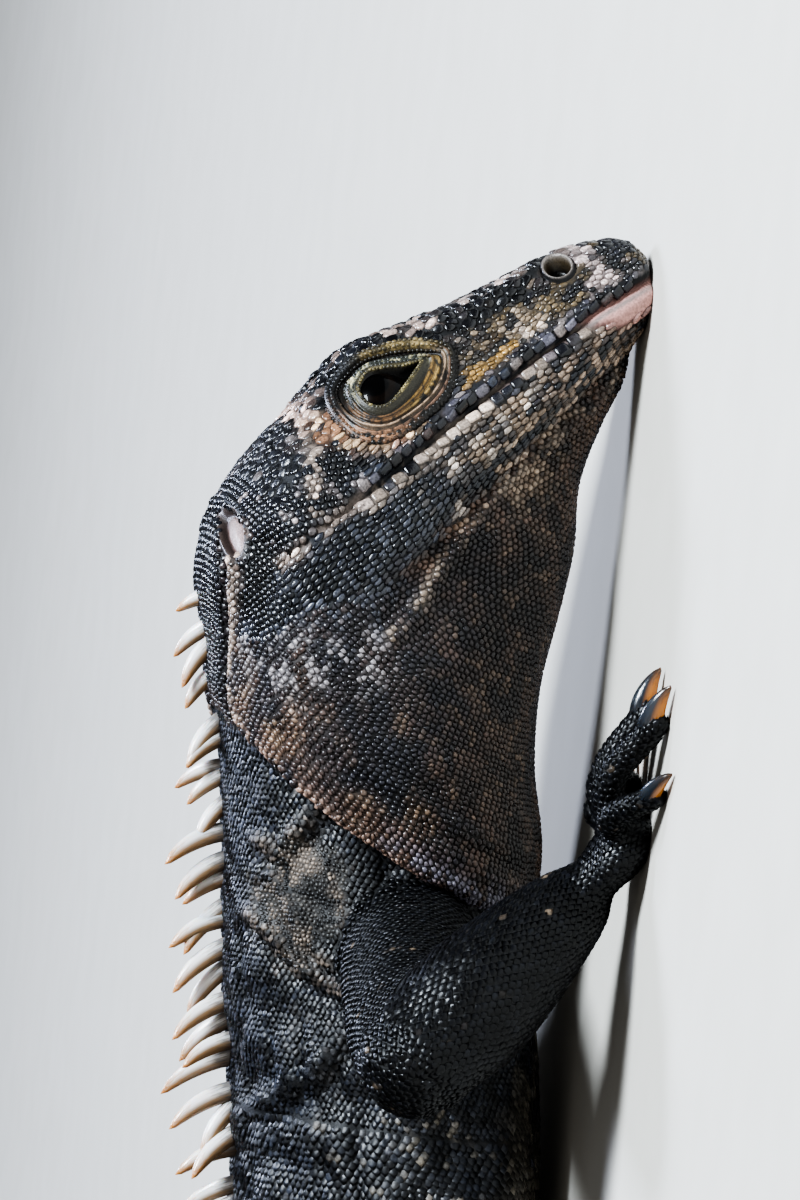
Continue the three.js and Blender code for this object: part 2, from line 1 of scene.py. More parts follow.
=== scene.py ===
# %% [markdown]
# # A black spiny-tailed iguana at life size
#
# This notebook dresses a packed set of plain solids as a living animal: one skin, and over it some seventy
# thousand scales of solid mesh, with spines, claws, lids and eyes. The solids stay where they are, and every
# piece below is made in their frame, so nothing has to be fitted. Sizes are in millimetres, and are turned
# to metres when a mesh is made.

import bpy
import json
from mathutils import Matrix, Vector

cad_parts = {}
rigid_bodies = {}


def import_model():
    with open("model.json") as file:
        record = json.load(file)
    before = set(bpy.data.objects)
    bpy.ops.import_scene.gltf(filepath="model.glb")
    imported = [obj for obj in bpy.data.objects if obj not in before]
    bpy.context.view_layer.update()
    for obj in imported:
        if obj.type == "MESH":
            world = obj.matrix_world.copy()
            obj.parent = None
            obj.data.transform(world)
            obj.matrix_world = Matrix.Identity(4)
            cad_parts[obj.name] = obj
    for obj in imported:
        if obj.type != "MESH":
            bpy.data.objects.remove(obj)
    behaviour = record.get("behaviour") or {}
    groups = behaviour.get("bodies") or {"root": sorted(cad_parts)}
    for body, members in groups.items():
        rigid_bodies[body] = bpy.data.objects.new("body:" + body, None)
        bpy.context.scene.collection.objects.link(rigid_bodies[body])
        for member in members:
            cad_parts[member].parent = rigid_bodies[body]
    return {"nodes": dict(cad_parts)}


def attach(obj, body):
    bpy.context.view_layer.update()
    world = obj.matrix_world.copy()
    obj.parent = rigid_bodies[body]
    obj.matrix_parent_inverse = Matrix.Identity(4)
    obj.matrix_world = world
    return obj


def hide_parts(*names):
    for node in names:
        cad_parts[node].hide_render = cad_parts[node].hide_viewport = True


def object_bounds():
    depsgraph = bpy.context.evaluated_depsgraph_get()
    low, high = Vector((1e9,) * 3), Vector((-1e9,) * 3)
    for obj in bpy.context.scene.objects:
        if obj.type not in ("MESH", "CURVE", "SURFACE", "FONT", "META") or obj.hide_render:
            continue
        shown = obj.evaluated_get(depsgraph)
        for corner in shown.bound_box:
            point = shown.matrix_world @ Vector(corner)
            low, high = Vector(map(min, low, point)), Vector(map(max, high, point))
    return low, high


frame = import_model()
cad_box = [list(corner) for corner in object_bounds()]
print("box of the solids in metres:", cad_box)

# %% [markdown]
# ## Small tools
#
# Colours are written as sRGB hex codes, the way a paint chart gives them, and one function turns them to the
# linear numbers that a renderer works with. Noise comes from one function too: a value for each corner of a
# grid of cubes, blended smoothly between them. Seeds are fixed, so each run gives the same animal.

# %% Numbers, colours and noise
import json
import math

import bpy
import numpy as np
from mathutils import Matrix, Vector
from mathutils.bvhtree import BVHTree
from mathutils.kdtree import KDTree

MM = 0.001
SOLID_BOX = np.array(cad_box) / MM
UP = np.array([0.0, 0.0, 1.0])
SIDE = np.array([0.0, 1.0, 0.0])
# One source of chance with a fixed seed. What is drawn from it is drawn in the order of this file.
random = np.random.default_rng(11)


def linear(code):
    parts = [int(code[i:i + 2], 16) / 255 for i in (1, 3, 5)]
    return np.array([c / 12.92 if c <= 0.04045 else ((c + 0.055) / 1.055) ** 2.4 for c in parts])


def unit(vectors):
    return vectors / np.maximum(np.linalg.norm(vectors, axis=-1, keepdims=True), 1e-9)


def smooth(low, high, value):
    share = np.clip((value - low) / (high - low), 0, 1)
    return share * share * (3 - 2 * share)


def blend(colours, code, share):
    return colours + (linear(code) - colours) * np.reshape(np.clip(share, 0, 1), (-1, 1))


def paint(colours, layers):
    for code, share in layers:
        colours = blend(colours, code, share)
    return colours


def noise(points, size, seed):
    spot = points / size + 31.7 * seed
    cell = np.floor(spot)
    part = smooth(0, 1, spot - cell)
    total = np.zeros(len(points))
    for corner in np.ndindex(2, 2, 2):
        share = np.prod(np.where(corner, part, 1 - part), axis=1)
        total += share * np.modf(np.abs(np.sin((cell + corner) @ [12.99, 78.23, 37.72] + seed) * 43758.5))[0]
    return total


def mottle(points, size, seed):
    return 0.62 * noise(points, size, seed) + 0.38 * noise(points, size / 2.3, seed + 5)


# %% [markdown]
# ## Meshes from arrays
#
# A mesh of a hundred thousand faces is made at once from arrays of points and faces, which takes a moment,
# where a loop would take minutes. A colour at each point carries the animal's markings. The map named OFBake
# gives each scale a small patch of its own, at its root's place on an unwrap of the hide.

# %% Make a mesh from arrays
def make_mesh(name, points, faces, material, tint=None, bake=None):
    mesh = bpy.data.meshes.new(name)
    count, corners = faces.shape
    mesh.vertices.add(len(points))
    mesh.vertices.foreach_set("co", (points * MM).astype(np.float32).ravel())
    mesh.loops.add(count * corners)
    mesh.loops.foreach_set("vertex_index", faces.astype(np.int32).ravel())
    mesh.polygons.add(count)
    mesh.polygons.foreach_set("loop_start", np.arange(0, count * corners, corners, dtype=np.int32))
    mesh.update(calc_edges=True)
    mesh.polygons.foreach_set("use_smooth", np.ones(count, bool))
    if tint is not None:
        colours = np.hstack([tint, np.ones((len(tint), 1))]).astype(np.float32)
        layer = mesh.color_attributes.new(name="Hide", type="FLOAT_COLOR", domain="POINT")
        layer.data.foreach_set("color", colours.ravel())
    if bake is not None:
        layer = mesh.uv_layers.new(name="OFBake")
        layer.data.foreach_set("uv", bake[faces.ravel()].astype(np.float32).ravel())
    mesh.materials.append(material)
    piece = bpy.data.objects.new(name, mesh)
    bpy.context.scene.collection.objects.link(piece)
    return piece


def arrays_of(piece):
    mesh = piece.data
    mesh.calc_loop_triangles()
    points = np.empty(len(mesh.vertices) * 3, np.float32)
    mesh.vertices.foreach_get("co", points)
    faces = np.empty(len(mesh.loop_triangles) * 3, np.int32)
    mesh.loop_triangles.foreach_get("vertices", faces)
    return points.reshape(-1, 3).astype(float) / MM, faces.reshape(-1, 3)


def tree_of(points, faces):
    return BVHTree.FromPolygons(points.tolist(), faces.tolist())


def point_normals(points, faces):
    a, b, c = (points[faces[:, k]] for k in range(3))
    flat = np.cross(b - a, c - a)
    summed = [sum(np.bincount(faces[:, k], flat[:, axis], len(points)) for k in range(3))
              for axis in range(3)]
    return unit(np.stack(summed, 1))


# %% [markdown]
# ## Camera
#
# The picture that this model follows was taken from the animal's right side, with a long lens, while the
# animal held its body upright. Here it lies on the floor, so the camera turns with it by a quarter: the
# picture's left is up, and its top is ahead of the animal. The long lens keeps the head free of distortion.

# %% Place the camera
PICTURE_WIDTH, PICTURE_HEIGHT = 800, 1200  # pixels
VIEW_SCALE = 0.15  # millimetres to each of the picture's pixels
NOSE_ACROSS, NOSE_DOWN = 652, 270  # the nose's place in the picture, in pixels
NOSE = Vector((215, 0, 0))
LEAN = math.radians(-8)
DISTANCE = 1.2  # metres
SENSOR = 36
right = Vector((0.1132, 0, -0.9936))
above = Vector((0.9936, 0, 0.1132))
across = (PICTURE_WIDTH / 2 - NOSE_ACROSS) * VIEW_SCALE
down = (PICTURE_HEIGHT / 2 - NOSE_DOWN) * VIEW_SCALE
centre = NOSE + right * across - above * down
turn = Matrix.Rotation(LEAN, 3, "X")
right, above = turn @ right, turn @ above
back = right.cross(above)

lens = bpy.data.cameras.new("camera")
lens.sensor_fit = "VERTICAL"
lens.sensor_height = SENSOR
lens.lens = SENSOR * DISTANCE / (PICTURE_HEIGHT * VIEW_SCALE * MM)
lens.clip_end = 40
camera = bpy.data.objects.new("camera", lens)
facing = Matrix((right, above, back)).transposed().to_4x4()
camera.matrix_world = Matrix.Translation(centre * MM + back * DISTANCE) @ facing
bpy.context.scene.collection.objects.link(camera)
bpy.context.scene.camera = camera
print("camera at", tuple(round(value, 3) for value in camera.location))

# %% [markdown]
# ## Materials
#
# Reptile hide is two things. The scales are thin plates of keratin, the stuff of nails: dark, hard and
# glossy, so each one catches its own small highlight. The skin between and under them is softer and more
# matt. Horn is keratin again, thick enough for light to enter, which gives the spines and claws their amber
# warmth. One small function adds a node, and every material is built with it.

# %% Add nodes
def add(tree, kind, settings=None, **inputs):
    node = tree.nodes.new(kind)
    for key, value in (settings or {}).items():
        setattr(node, key, value)
    for key, value in inputs.items():
        # A socket is named by its title, or by its number after an underscore where titles repeat.
        socket = node.inputs[int(key[1:])] if key[1:].isdigit() else node.inputs[key.replace("_", " ")]
        if isinstance(value, bpy.types.NodeSocket):
            tree.links.new(value, socket)
        else:
            socket.default_value = value
    return node


def new_material(name, **fixed):
    material = bpy.data.materials.new(name)
    material.use_nodes = True
    tree = material.node_tree
    tree.nodes.clear()
    shader = add(tree, "ShaderNodeBsdfPrincipled", **fixed)
    add(tree, "ShaderNodeOutputMaterial", Surface=shader.outputs["BSDF"])
    return material, tree, shader


def colour4(code):
    return (*linear(code), 1)


# %% Keratin scales and the bare skin under them
def hide_material(name, rough, spread, grain, depth, vary=0.28, **fixed):
    material, tree, shader = new_material(name, **fixed)
    marks = add(tree, "ShaderNodeAttribute", {"attribute_name": "Hide"}).outputs["Color"]
    place = add(tree, "ShaderNodeTexCoord").outputs["Object"]
    fine = add(tree, "ShaderNodeTexNoise", Vector=place, Scale=1 / (grain * MM), Detail=3.0).outputs["Fac"]
    broad = add(tree, "ShaderNodeTexNoise", Vector=place, Scale=1 / (9 * grain * MM)).outputs["Fac"]
    tone = add(tree, "ShaderNodeMapRange", Value=fine, _1=0.3, _2=0.7, _3=1 - vary, _4=1 + vary)
    tinted = add(tree, "ShaderNodeVectorMath", {"operation": "SCALE"}, _0=marks,
                 Scale=tone.outputs["Result"])
    worn = add(tree, "ShaderNodeMapRange", Value=broad, _1=0.35, _2=0.65, _3=rough, _4=rough + spread)
    bump = add(tree, "ShaderNodeBump", Height=fine, Strength=0.5, Distance=depth * MM)
    tree.links.new(tinted.outputs["Vector"], shader.inputs["Base Color"])
    tree.links.new(worn.outputs["Result"], shader.inputs["Roughness"])
    tree.links.new(bump.outputs["Normal"], shader.inputs["Normal"])
    return material


# Each finish has its least roughness and its spread, and the width and depth of its grain in millimetres.
# Hard, smooth keratin: a tight gloss that puts a glint on every scale.
keratin = hide_material("Keratin scales", rough=0.22, spread=0.16, grain=0.35, depth=0.05, IOR=1.5)
# The limbs are almost black, with small glints.
limb_keratin = hide_material("Black keratin of the limbs", rough=0.29, spread=0.14, grain=0.35, depth=0.06,
                             vary=0.4, IOR=1.36)
# The back and the shoulder are dusty and dull.
dull_keratin = hide_material("Dusty keratin", rough=0.36, spread=0.22, grain=0.4, depth=0.08,
                             vary=0.4, IOR=1.46)
# Plates on the head are larger and a little worn, so the gloss is strong but uneven.
plate_keratin = hide_material("Worn keratin plates", rough=0.17, spread=0.18, grain=0.32, depth=0.1,
                              vary=0.5, IOR=1.58)
# Soft skin between the scales: matt, with a fine crackle.
bare_skin = hide_material("Bare hide between the scales", rough=0.55, spread=0.15, grain=0.4, depth=0.15,
                          IOR=1.45)
# Thin moist skin round the eye, smooth enough for a soft shine.
lid_skin = hide_material("Thin lid skin", rough=0.34, spread=0.14, grain=0.22, depth=0.1, vary=0.5, IOR=1.42)
print("hide materials:", [material.name for material in bpy.data.materials])

# %% [markdown]
# ## The body as lofted tubes
#
# The solids were lofted through a few measured cross sections. The same sections are used here, with far
# more rings, and the tubes lie inside the solids by the depth of the scales, so that the scaled animal ends
# where the solids do. Each section is a soft ellipse with its own top, base, half width, height of its
# widest point, squareness and taper.

# %% Sections of the head, throat and torso
COAT = 0.35  # how deep the scales lie over the skin

# Each row: place along the tube, top, base, half width, how far up the widest point lies, squareness and
# taper.
HEAD = [(-3.4, 4, 4, 0, .4, 2, 0), (-2, 8, 0, 4.4, .4, 2.2, -.05), (1.5, 10.4, -4.2, 6.6, .4, 2.3, -.08),
        (8, 12.9, -6.4, 9, .38, 2.4, -.1), (20, 14.8, -8.8, 12, .36, 2.5, -.12),
        (32, 17, -11, 15.4, .36, 2.5, -.12), (42, 19.2, -13.4, 19, .36, 2.5, -.14),
        (51, 17.4, -15.8, 22.6, .38, 2.4, -.12), (61, 15.8, -18.6, 25.4, .42, 2.3, -.06),
        (71, 12.2, -21, 25.4, .46, 2.2, 0), (80, 4.6, -22, 21, .5, 2.1, 0), (86, -9, -9, 0, .5, 2, 0)]
LOBE = [(206, 3, 3, 0, .6, 2, 0), (200, 10, 1.4, 5.5, .6, 2, .1), (191, 20, 4.6, 9.5, .65, 2, .2),
        (182, 33, 6.8, 14, .65, 2, .28), (172, 46, 6.6, 19.5, .62, 2.1, .3),
        (162, 59.5, 7.8, 24, .6, 2.1, .28),
        (151, 60.4, 9.4, 27, .58, 2.1, .24), (139, 58.2, 9, 28.4, .55, 2.1, .18),
        (127, 56.2, 6.6, 28.4, .5, 2.1, .1), (114, 54.4, 6.6, 27.4, .5, 2.1, .06),
        (100, 52.4, 8, 26, .5, 2.1, .06), (88, 30, 30, 0, .5, 2, 0)]
TORSO = [(160, 40, 40, 0, .5, 2, 0), (151, 57.5, 26, 16, .5, 2, 0), (138, 57, 17, 21, .5, 2.1, 0),
         (122, 54.9, 10.5, 24, .48, 2.2, 0), (105, 53, 5.5, 27, .45, 2.2, 0),
         (87, 50, 2.6, 30, .42, 2.2, -.04),
         (67, 47.4, 1, 33.5, .4, 2.2, -.06), (42, 49.6, -.2, 39, .38, 2.2, -.08),
         (10, 54, -.8, 44.5, .38, 2.2, -.08), (-25, 55, -.8, 45, .38, 2.2, -.08),
         (-58, 51, -.7, 38, .4, 2.2, -.06), (-86, 44.6, -.2, 28, .44, 2.1, 0),
         (-106, 39, .4, 21.5, .47, 2.1, 0), (-124, 34.4, -.2, 18, .5, 2, 0), (-138, 15, 15, 0, .5, 2, 0)]
print("sections of head, throat and torso:", len(HEAD), len(LOBE), len(TORSO))


def bow(a, b, lean_a, lean_b, part):
    rise = b - a
    bend = 3 * rise - 2 * lean_a - lean_b + part * (lean_a + lean_b - 2 * rise)
    return a + part * (lean_a + part * bend)


def rounded_step(before, a, b, after, part):
    return bow(a, b, (b - before) / 2, (after - a) / 2, part)


def sections(rows, t):
    rows = np.array(rows, float)
    i = np.clip(np.floor(t).astype(int), 0, len(rows) - 2)
    before, after = rows[np.maximum(i - 1, 0)], rows[np.minimum(i + 2, len(rows) - 1)]
    return rounded_step(before, rows[i], rows[i + 1], after, (t - i)[:, None])


def section_at(rows, at):
    t = np.linspace(0, len(rows) - 1, 2000)
    places = sections(rows, t)[:, 0]
    order = np.argsort(places)
    return sections(rows, np.interp(np.atleast_1d(at), places[order], t[order]))


def outline(section, angle, grow=0.0):
    at, top, base, half, widest, square, taper = section.T[..., None]
    swell = np.where(half > 0, np.maximum(grow, -0.5 * half), 0)
    across, rise = np.cos(angle), np.sin(angle)
    middle = base + widest * (top - base)
    reach = np.where(rise > 0, top - middle, middle - base) + swell
    wide = (half + swell) * (1 + taper * rise)
    side = wide * np.sign(across) * np.abs(across) ** (2 / square)
    return side, middle + reach * np.sign(rise) * np.abs(rise) ** (2 / square)


# %% [markdown]
# ## From sections to even grids
#
# A loft is a grid of points, rings by columns. The rings are set at equal steps along the surface, and the
# columns at equal steps round each ring, starting at the top, because scales that grow at even spacing need
# a grid that is even too. The tail and limbs follow a curve, so their sections are placed along it.

# %% Places in the head, in the body and along a curve
PITCH = math.radians(47.5)  # how far the mouth line falls towards the nose
MOUTH_TIP = np.array([212, 0, 0.8])
FORWARD = np.array([math.cos(PITCH), 0, -math.sin(PITCH)])
CROWN = np.array([math.sin(PITCH), 0, math.cos(PITCH)])


def in_head(at, side, up):
    at, side, up = (np.asarray(v, float)[..., None] for v in np.broadcast_arrays(at, side, up))
    return MOUTH_TIP - at * FORWARD + side * SIDE + up * CROWN


def in_body(at, side, up):
    return np.stack(np.broadcast_arrays(at, side, up), -1).astype(float)


def head_places(points):
    away = points - MOUTH_TIP
    return -away @ FORWARD, away @ CROWN


def curve(points, steps=60):
    p = np.array(points, float)
    p = np.vstack([2 * p[0] - p[1], p, 2 * p[-1] - p[-2]])
    t = np.linspace(0, 1, steps, endpoint=False)[:, None]
    line = []
    for a, b, c, d in zip(p, p[1:], p[2:], p[3:]):
        ab, bc, cd = (max(np.linalg.norm(v), 1e-4) ** 0.5 for v in (b - a, c - b, d - c))
        rise = c - b
        lean_b = ((b - a) / ab - (c - a) / (ab + bc) + rise / bc) * bc
        lean_c = (rise / bc - (d - b) / (bc + cd) + (d - c) / cd) * bc
        line.append(bow(b, c, lean_b, lean_c, t))
    return np.vstack([*line, p[-2:-1]])


def along(points, span=None):
    line = curve(points)
    length = np.r_[0, np.cumsum(np.linalg.norm(np.diff(line, axis=0), axis=1))]
    ways = unit(np.gradient(line, axis=0))
    scale = length[-1] / (span or length[-1])

    def place(at, side, up):
        reach, side, up = np.broadcast_arrays(np.asarray(at, float) * scale, side, up)
        on = np.clip(reach, 0, length[-1])
        middle = np.stack([np.interp(on, length, line[:, k]) for k in range(3)], -1)
        way = unit(np.stack([np.interp(on, length, ways[:, k]) for k in range(3)], -1))
        across = unit(np.cross(UP, way))
        rise = np.cross(way, across)
        return middle + way * (reach - on)[..., None] + across * side[..., None] + rise * up[..., None]
    return place, length[-1]


# %% Loft a grid and close it
RING_STEPS = 257  # fine steps round a section, from which even ones are taken
LOFT_STEPS = 500  # fine steps along a loft


def surface(rows, place, t, around, grow):
    shape = sections(rows, t)
    angle = np.linspace(0.5 * np.pi, 2.5 * np.pi, RING_STEPS)
    side, up = outline(shape, angle, grow)
    walk = np.hypot(np.diff(side, axis=1), np.diff(up, axis=1)).cumsum(1)
    even = np.arange(around) / around
    rings = []
    for k in range(len(t)):
        far = np.r_[0, walk[k]] / walk[k, -1] if walk[k, -1] > 1e-6 else np.linspace(0, 1, RING_STEPS)
        rings.append([np.interp(even, far, side[k]), np.interp(even, far, up[k])])
    rings = np.array(rings)
    return place(shape[:, :1], rings[:, 0], rings[:, 1])


def loft(rows, place, rings, around, grow=-COAT):
    fine = np.linspace(0, len(rows) - 1, LOFT_STEPS)
    rough = surface(rows, place, fine, 32, grow)
    length = np.r_[0, np.cumsum(np.linalg.norm(np.diff(rough, axis=0), axis=2).mean(1))]
    t = np.interp(np.linspace(0, length[-1], rings), length, fine)
    return surface(rows, place, t, around, grow)


def ring_quads(rings, around, first=0):
    i = np.arange(rings - 1)[:, None] * around + first
    j = np.arange(around)
    k = (j + 1) % around
    return np.stack([i + j, i + k, i + around + k, i + around + j], -1).reshape(-1, 4)


def halved(quads):
    return np.vstack([quads[:, :3], quads[:, [0, 2, 3]]])


def closed(grid):
    rings, around, _ = grid.shape
    points = np.vstack([grid[0].mean(0), grid[1:-1].reshape(-1, 3), grid[-1].mean(0)])
    j = np.arange(around)
    k = (j + 1) % around
    last = len(points) - 1
    end = last - around
    start_cap = np.stack([np.zeros_like(j), k + 1, j + 1], 1)
    end_cap = np.stack([np.full_like(j, last), end + j, end + k], 1)
    faces = np.vstack([halved(ring_quads(rings - 2, around, 1)), start_cap, end_cap])
    corner = points[faces]
    volume = np.einsum("ij,ij->i", corner[:, 0], np.cross(corner[:, 1], corner[:, 2])).sum()
    return points, faces if volume > 0 else faces[:, ::-1]


# %% [markdown]
# ## The fold of the throat
#
# A male's throat swells over his shoulder and ends in a rounded fold, with a deep shadow behind it. A plain
# loft can't overhang, so each line of the throat's grid runs back to the fold's curve, rolls over it on a
# small radius, and dives in towards the neck.

# %% The throat, rolled over at its fold
FOLD_HEIGHT = [-5, 4, 12, 20, 28, 33, 40, 47.4, 53, 57, 60, 66]
FOLD_X = [114.6, 114.8, 115.6, 117.6, 120.4, 122.8, 126.6, 131.6, 136.4, 140.6, 145.0, 152]
FOLD_ROUND = 2.6
FOLD_STEPS = 5  # rings over the fold, and again from the fold to the neck's middle
FOLD_DIVE, FOLD_BACK = 5, 2.2  # how far the skin dives in behind the fold, and how far forward it goes
THROAT_RINGS, THROAT_COLUMNS = 118, 190
NECK_MIDDLE = np.array([132, 0, 30.0])


def behind_fold(points):
    return points[..., 0] - np.interp(points[..., 2], FOLD_HEIGHT, FOLD_X)


def rolled_throat():
    rings = THROAT_RINGS
    grid = loft(LOBE, in_body, 420, THROAT_COLUMNS)
    heart = NECK_MIDDLE * [0, 1, 1]
    made = np.empty((rings + 2 * FOLD_STEPS, THROAT_COLUMNS, 3))
    for j in range(THROAT_COLUMNS):
        line = grid[:, j]
        cut = max(int(np.argmax(behind_fold(line)[40:] < 0)) + 40, 60)
        walk = np.r_[0, np.cumsum(np.linalg.norm(np.diff(line[:cut + 1], axis=0), axis=1))]
        spots = np.linspace(0, walk[-1] - FOLD_ROUND, rings)
        made[:rings, j] = np.stack([np.interp(spots, walk, line[:cut + 1, k]) for k in range(3)], 1)
        edge = line[cut]
        dive = edge + unit(heart - edge * [0, 1, 1]) * FOLD_DIVE
        dive[0] = np.interp(dive[2], FOLD_HEIGHT, FOLD_X) + FOLD_BACK
        for step in range(FOLD_STEPS):
            u = (step + 1) / FOLD_STEPS
            made[rings + step, j] = (1 - u) ** 2 * made[rings - 1, j] + 2 * u * (1 - u) * edge + u * u * dive
            inner = dive + (heart - dive * [0, 1, 1]) * u
            inner[0] = dive[0] + (NECK_MIDDLE[0] - dive[0]) * u
            made[rings + FOLD_STEPS + step, j] = inner
    return made


throat_grid = rolled_throat()
print("throat:", throat_grid.shape[0], "rings of", throat_grid.shape[1])


# %% [markdown]
# ## Limbs, toes and tail
#
# Each leg is four lofts: two lengths, a flat palm and five toes, placed by the same joints as the solids.
# The tail follows its curve on the floor. All of them run a little way into the body, and are joined to it.

# %% Build every tube
TAIL_POINTS = [(-100, 0, 0), (-165, 1, 0), (-262, -12, 0), (-368, -44, 0), (-474, -50, 0), (-574, -18, 0),
               (-650, 40, 0)]
on_tail, TAIL_LENGTH = along(TAIL_POINTS)
TAIL = [(at, top, base, half, .5, 2, 0) for at, top, base, half in (
    (4, 16, 16, 0), (10, 35, 1, 18.5), (26, 34, -.3, 17.9), (66, 29.8, -.3, 15.2), (126, 24.4, -.3, 12.4),
    (206, 18.8, -.3, 9.6), (296, 13.6, -.3, 7), (386, 9.6, -.3, 5), (476, 6.2, -.3, 3.3),
    (548, 3.8, -.25, 2.1), (TAIL_LENGTH - 6, 2, -.2, 1.1), (TAIL_LENGTH, .9, .9, 0))]
# Toes: how far each is turned out in degrees, its length and its half thickness.
FORE_TOES = [(-44, 10, 2.4), (-20, 14, 2.6), (2, 17, 2.7), (24, 17, 2.7), (56, 12, 2.4)]
HIND_TOES = [(-34, 14, 2.8), (-17, 23, 3), (-3, 32, 3.1), (11, 40, 3.1), (52, 20, 2.8)]
ARM = dict(upper=[11, 10.6, 10.2, 9.2], lower=[9.2, 9.8, 8.4, 6], palm=7.4, arch=4.2, toes=FORE_TOES)
LEG = dict(upper=[15.5, 15, 13, 9.8], lower=[9.8, 10.4, 8.4, 6], palm=8, arch=2, toes=HIND_TOES)
# Each leg: its side, then its root, knee and ankle, the length of the palm, and where the foot points.
LEGS = [("arm_right", ARM, -1, (112, 15, 27), (97, 63, 31), (121, 53, 9.4), 8, 0),
        ("arm_left", ARM, 1, (106, 15, 27), (84, 62, 29), (108, 60, 9.2), 8, 14),
        ("leg_right", LEG, -1, (-88, 14, 24), (-50, 67, 30), (-98, 86, 9.6), 26, 24),
        ("leg_left", LEG, 1, (-90, 14, 24), (-64, 68, 29), (-114, 84, 9.6), 26, 30)]


def limb(points, radii, rings, around, flat=1.0):
    place, length = along(points, 1)
    start, end = radii[0] / length, radii[-1] / length
    steps = [(-start, 0), (-0.7 * start, 0.7 * radii[0])]
    steps += [(i / (len(radii) - 1), radius) for i, radius in enumerate(radii)]
    steps += [(1 + 0.7 * end, 0.7 * radii[-1]), (1 + end, 0)]
    rows = [(at, radius * flat, -radius * flat, radius, .5, 2, 0) for at, radius in steps]
    return loft(rows, place, rings, around)


def level(turn, side):
    return np.array([math.cos(math.radians(turn)), side * math.sin(math.radians(turn)), 0])


limb_grids = {}
claw_roots = []
for name, kind, side, root, knee, ankle, foot, heading in LEGS:
    root, knee, ankle = (np.array(p) * [1, side, 1] for p in (root, knee, ankle))
    palm, toes = kind["palm"], kind["toes"]
    sole = ankle + level(heading, side) * foot
    sole[2] = toes[0][2] + 1.4
    fine = 72 if name == "arm_right" else 56
    limb_grids[name + "_upper"] = limb([root, knee], kind["upper"], fine, 50)
    limb_grids[name + "_lower"] = limb([knee, ankle], kind["lower"], fine, 44)
    limb_grids[name + "_palm"] = limb([ankle, sole], [palm * .72, palm], 26, 32, 0.56)
    for number, (turned, length, thick) in enumerate(toes):
        way = level(heading + turned, side)
        start = sole + way * palm * 0.5
        arch, tip = start + way * length * 0.42, start + way * length
        arch[2], tip[2] = thick + kind["arch"], 0.78 * thick - 0.15
        radii = [thick, .9 * thick, .8 * thick]
        limb_grids[f"{name}_toe_{number}"] = limb([start, arch, tip], radii, 26, 14)
        claw = tip - way * thick * 0.4
        claw[2] = tip[2] + thick * 0.25
        claw_roots.append((claw, unit(way + UP * 0.12), thick))

head_grid = loft(HEAD, in_head, 190, 200)
torso_grid = loft(TORSO, in_body, 190, 140)
tail_grid = loft(TAIL, on_tail, 300, 30)
tubes = {"head": head_grid, "throat": throat_grid, "torso": torso_grid, "tail": tail_grid, **limb_grids}
print(len(tubes), "tubes,", sum(2 * grid.shape[0] * grid.shape[1] for grid in tubes.values()),
      "triangles before joining")

# %% [markdown]
# ## One skin
#
# The tubes become one closed skin with a Boolean union. The Manifold solver is made for closed meshes like
# these and joins them in a few seconds. What would be inside is gone afterwards, so no seam shows.

# %% Join the tubes
parts = bpy.data.collections.new("tubes")
bpy.context.scene.collection.children.link(parts)
whole = None
for name, grid in tubes.items():
    piece = make_mesh("tube_" + name, *closed(grid), bare_skin)
    if whole is None:
        whole = piece
    else:
        bpy.context.scene.collection.objects.unlink(piece)
        parts.objects.link(piece)
union = whole.modifiers.new("union", "BOOLEAN")
union.operation = "UNION"
union.operand_type = "COLLECTION"
union.collection = parts
union.solver = "MANIFOLD"
graph = bpy.context.evaluated_depsgraph_get()
joined = bpy.data.meshes.new_from_object(whole.evaluated_get(graph), depsgraph=graph)
whole.modifiers.clear()
whole.data = joined
skin_points, skin_faces = arrays_of(whole)
for piece in [whole, *parts.objects]:
    bpy.data.objects.remove(piece)
bpy.data.collections.remove(parts)
print("skin:", len(skin_points), "points,", len(skin_faces), "triangles")

# %% [markdown]
# ## Where each part of the skin came from
#
# The joined skin no longer says what was head and what was arm, so each point asks which tube's surface it
# lies on. The distance to the second nearest tube tells how close a joint is. There the sharp crease of the
# union is smoothed to a soft one, as at an armpit, but the fold of the throat stays crisp.

# %% Sort the skin's points and soften the joints
GROUPS = ["head", "throat", "torso", "tail", "upper", "lower", "palm", "toe"]
HEAD_PART, THROAT, TORSO_PART, TAIL_PART, UPPER, LOWER, PALM, TOE = range(8)
FAR = 9.0  # millimetres beyond which a tube no longer counts as near
ROUNDS = 24


def join_arrays(meshes):
    offsets = np.cumsum([0] + [len(points) for points, _ in meshes[:-1]])
    return np.vstack([m[0] for m in meshes]), np.vstack([m[1] + o for m, o in zip(meshes, offsets)])


def distances(points, tree, limit):
    found = [tree.find_nearest(point, limit)[3] for point in points.tolist()]
    return np.array([limit if value is None else value for value in found])


gap = np.empty((len(skin_points), len(GROUPS)))
for number, group in enumerate(GROUPS):
    members = [closed(grid) for name, grid in tubes.items() if name == group or "_" + group in name]
    gap[:, number] = distances(skin_points, tree_of(*join_arrays(members)), FAR)
skin_part = gap.argmin(1)
second = np.sort(gap, axis=1)[:, 1]
pair = np.sort(np.argsort(gap, axis=1)[:, :2], axis=1)

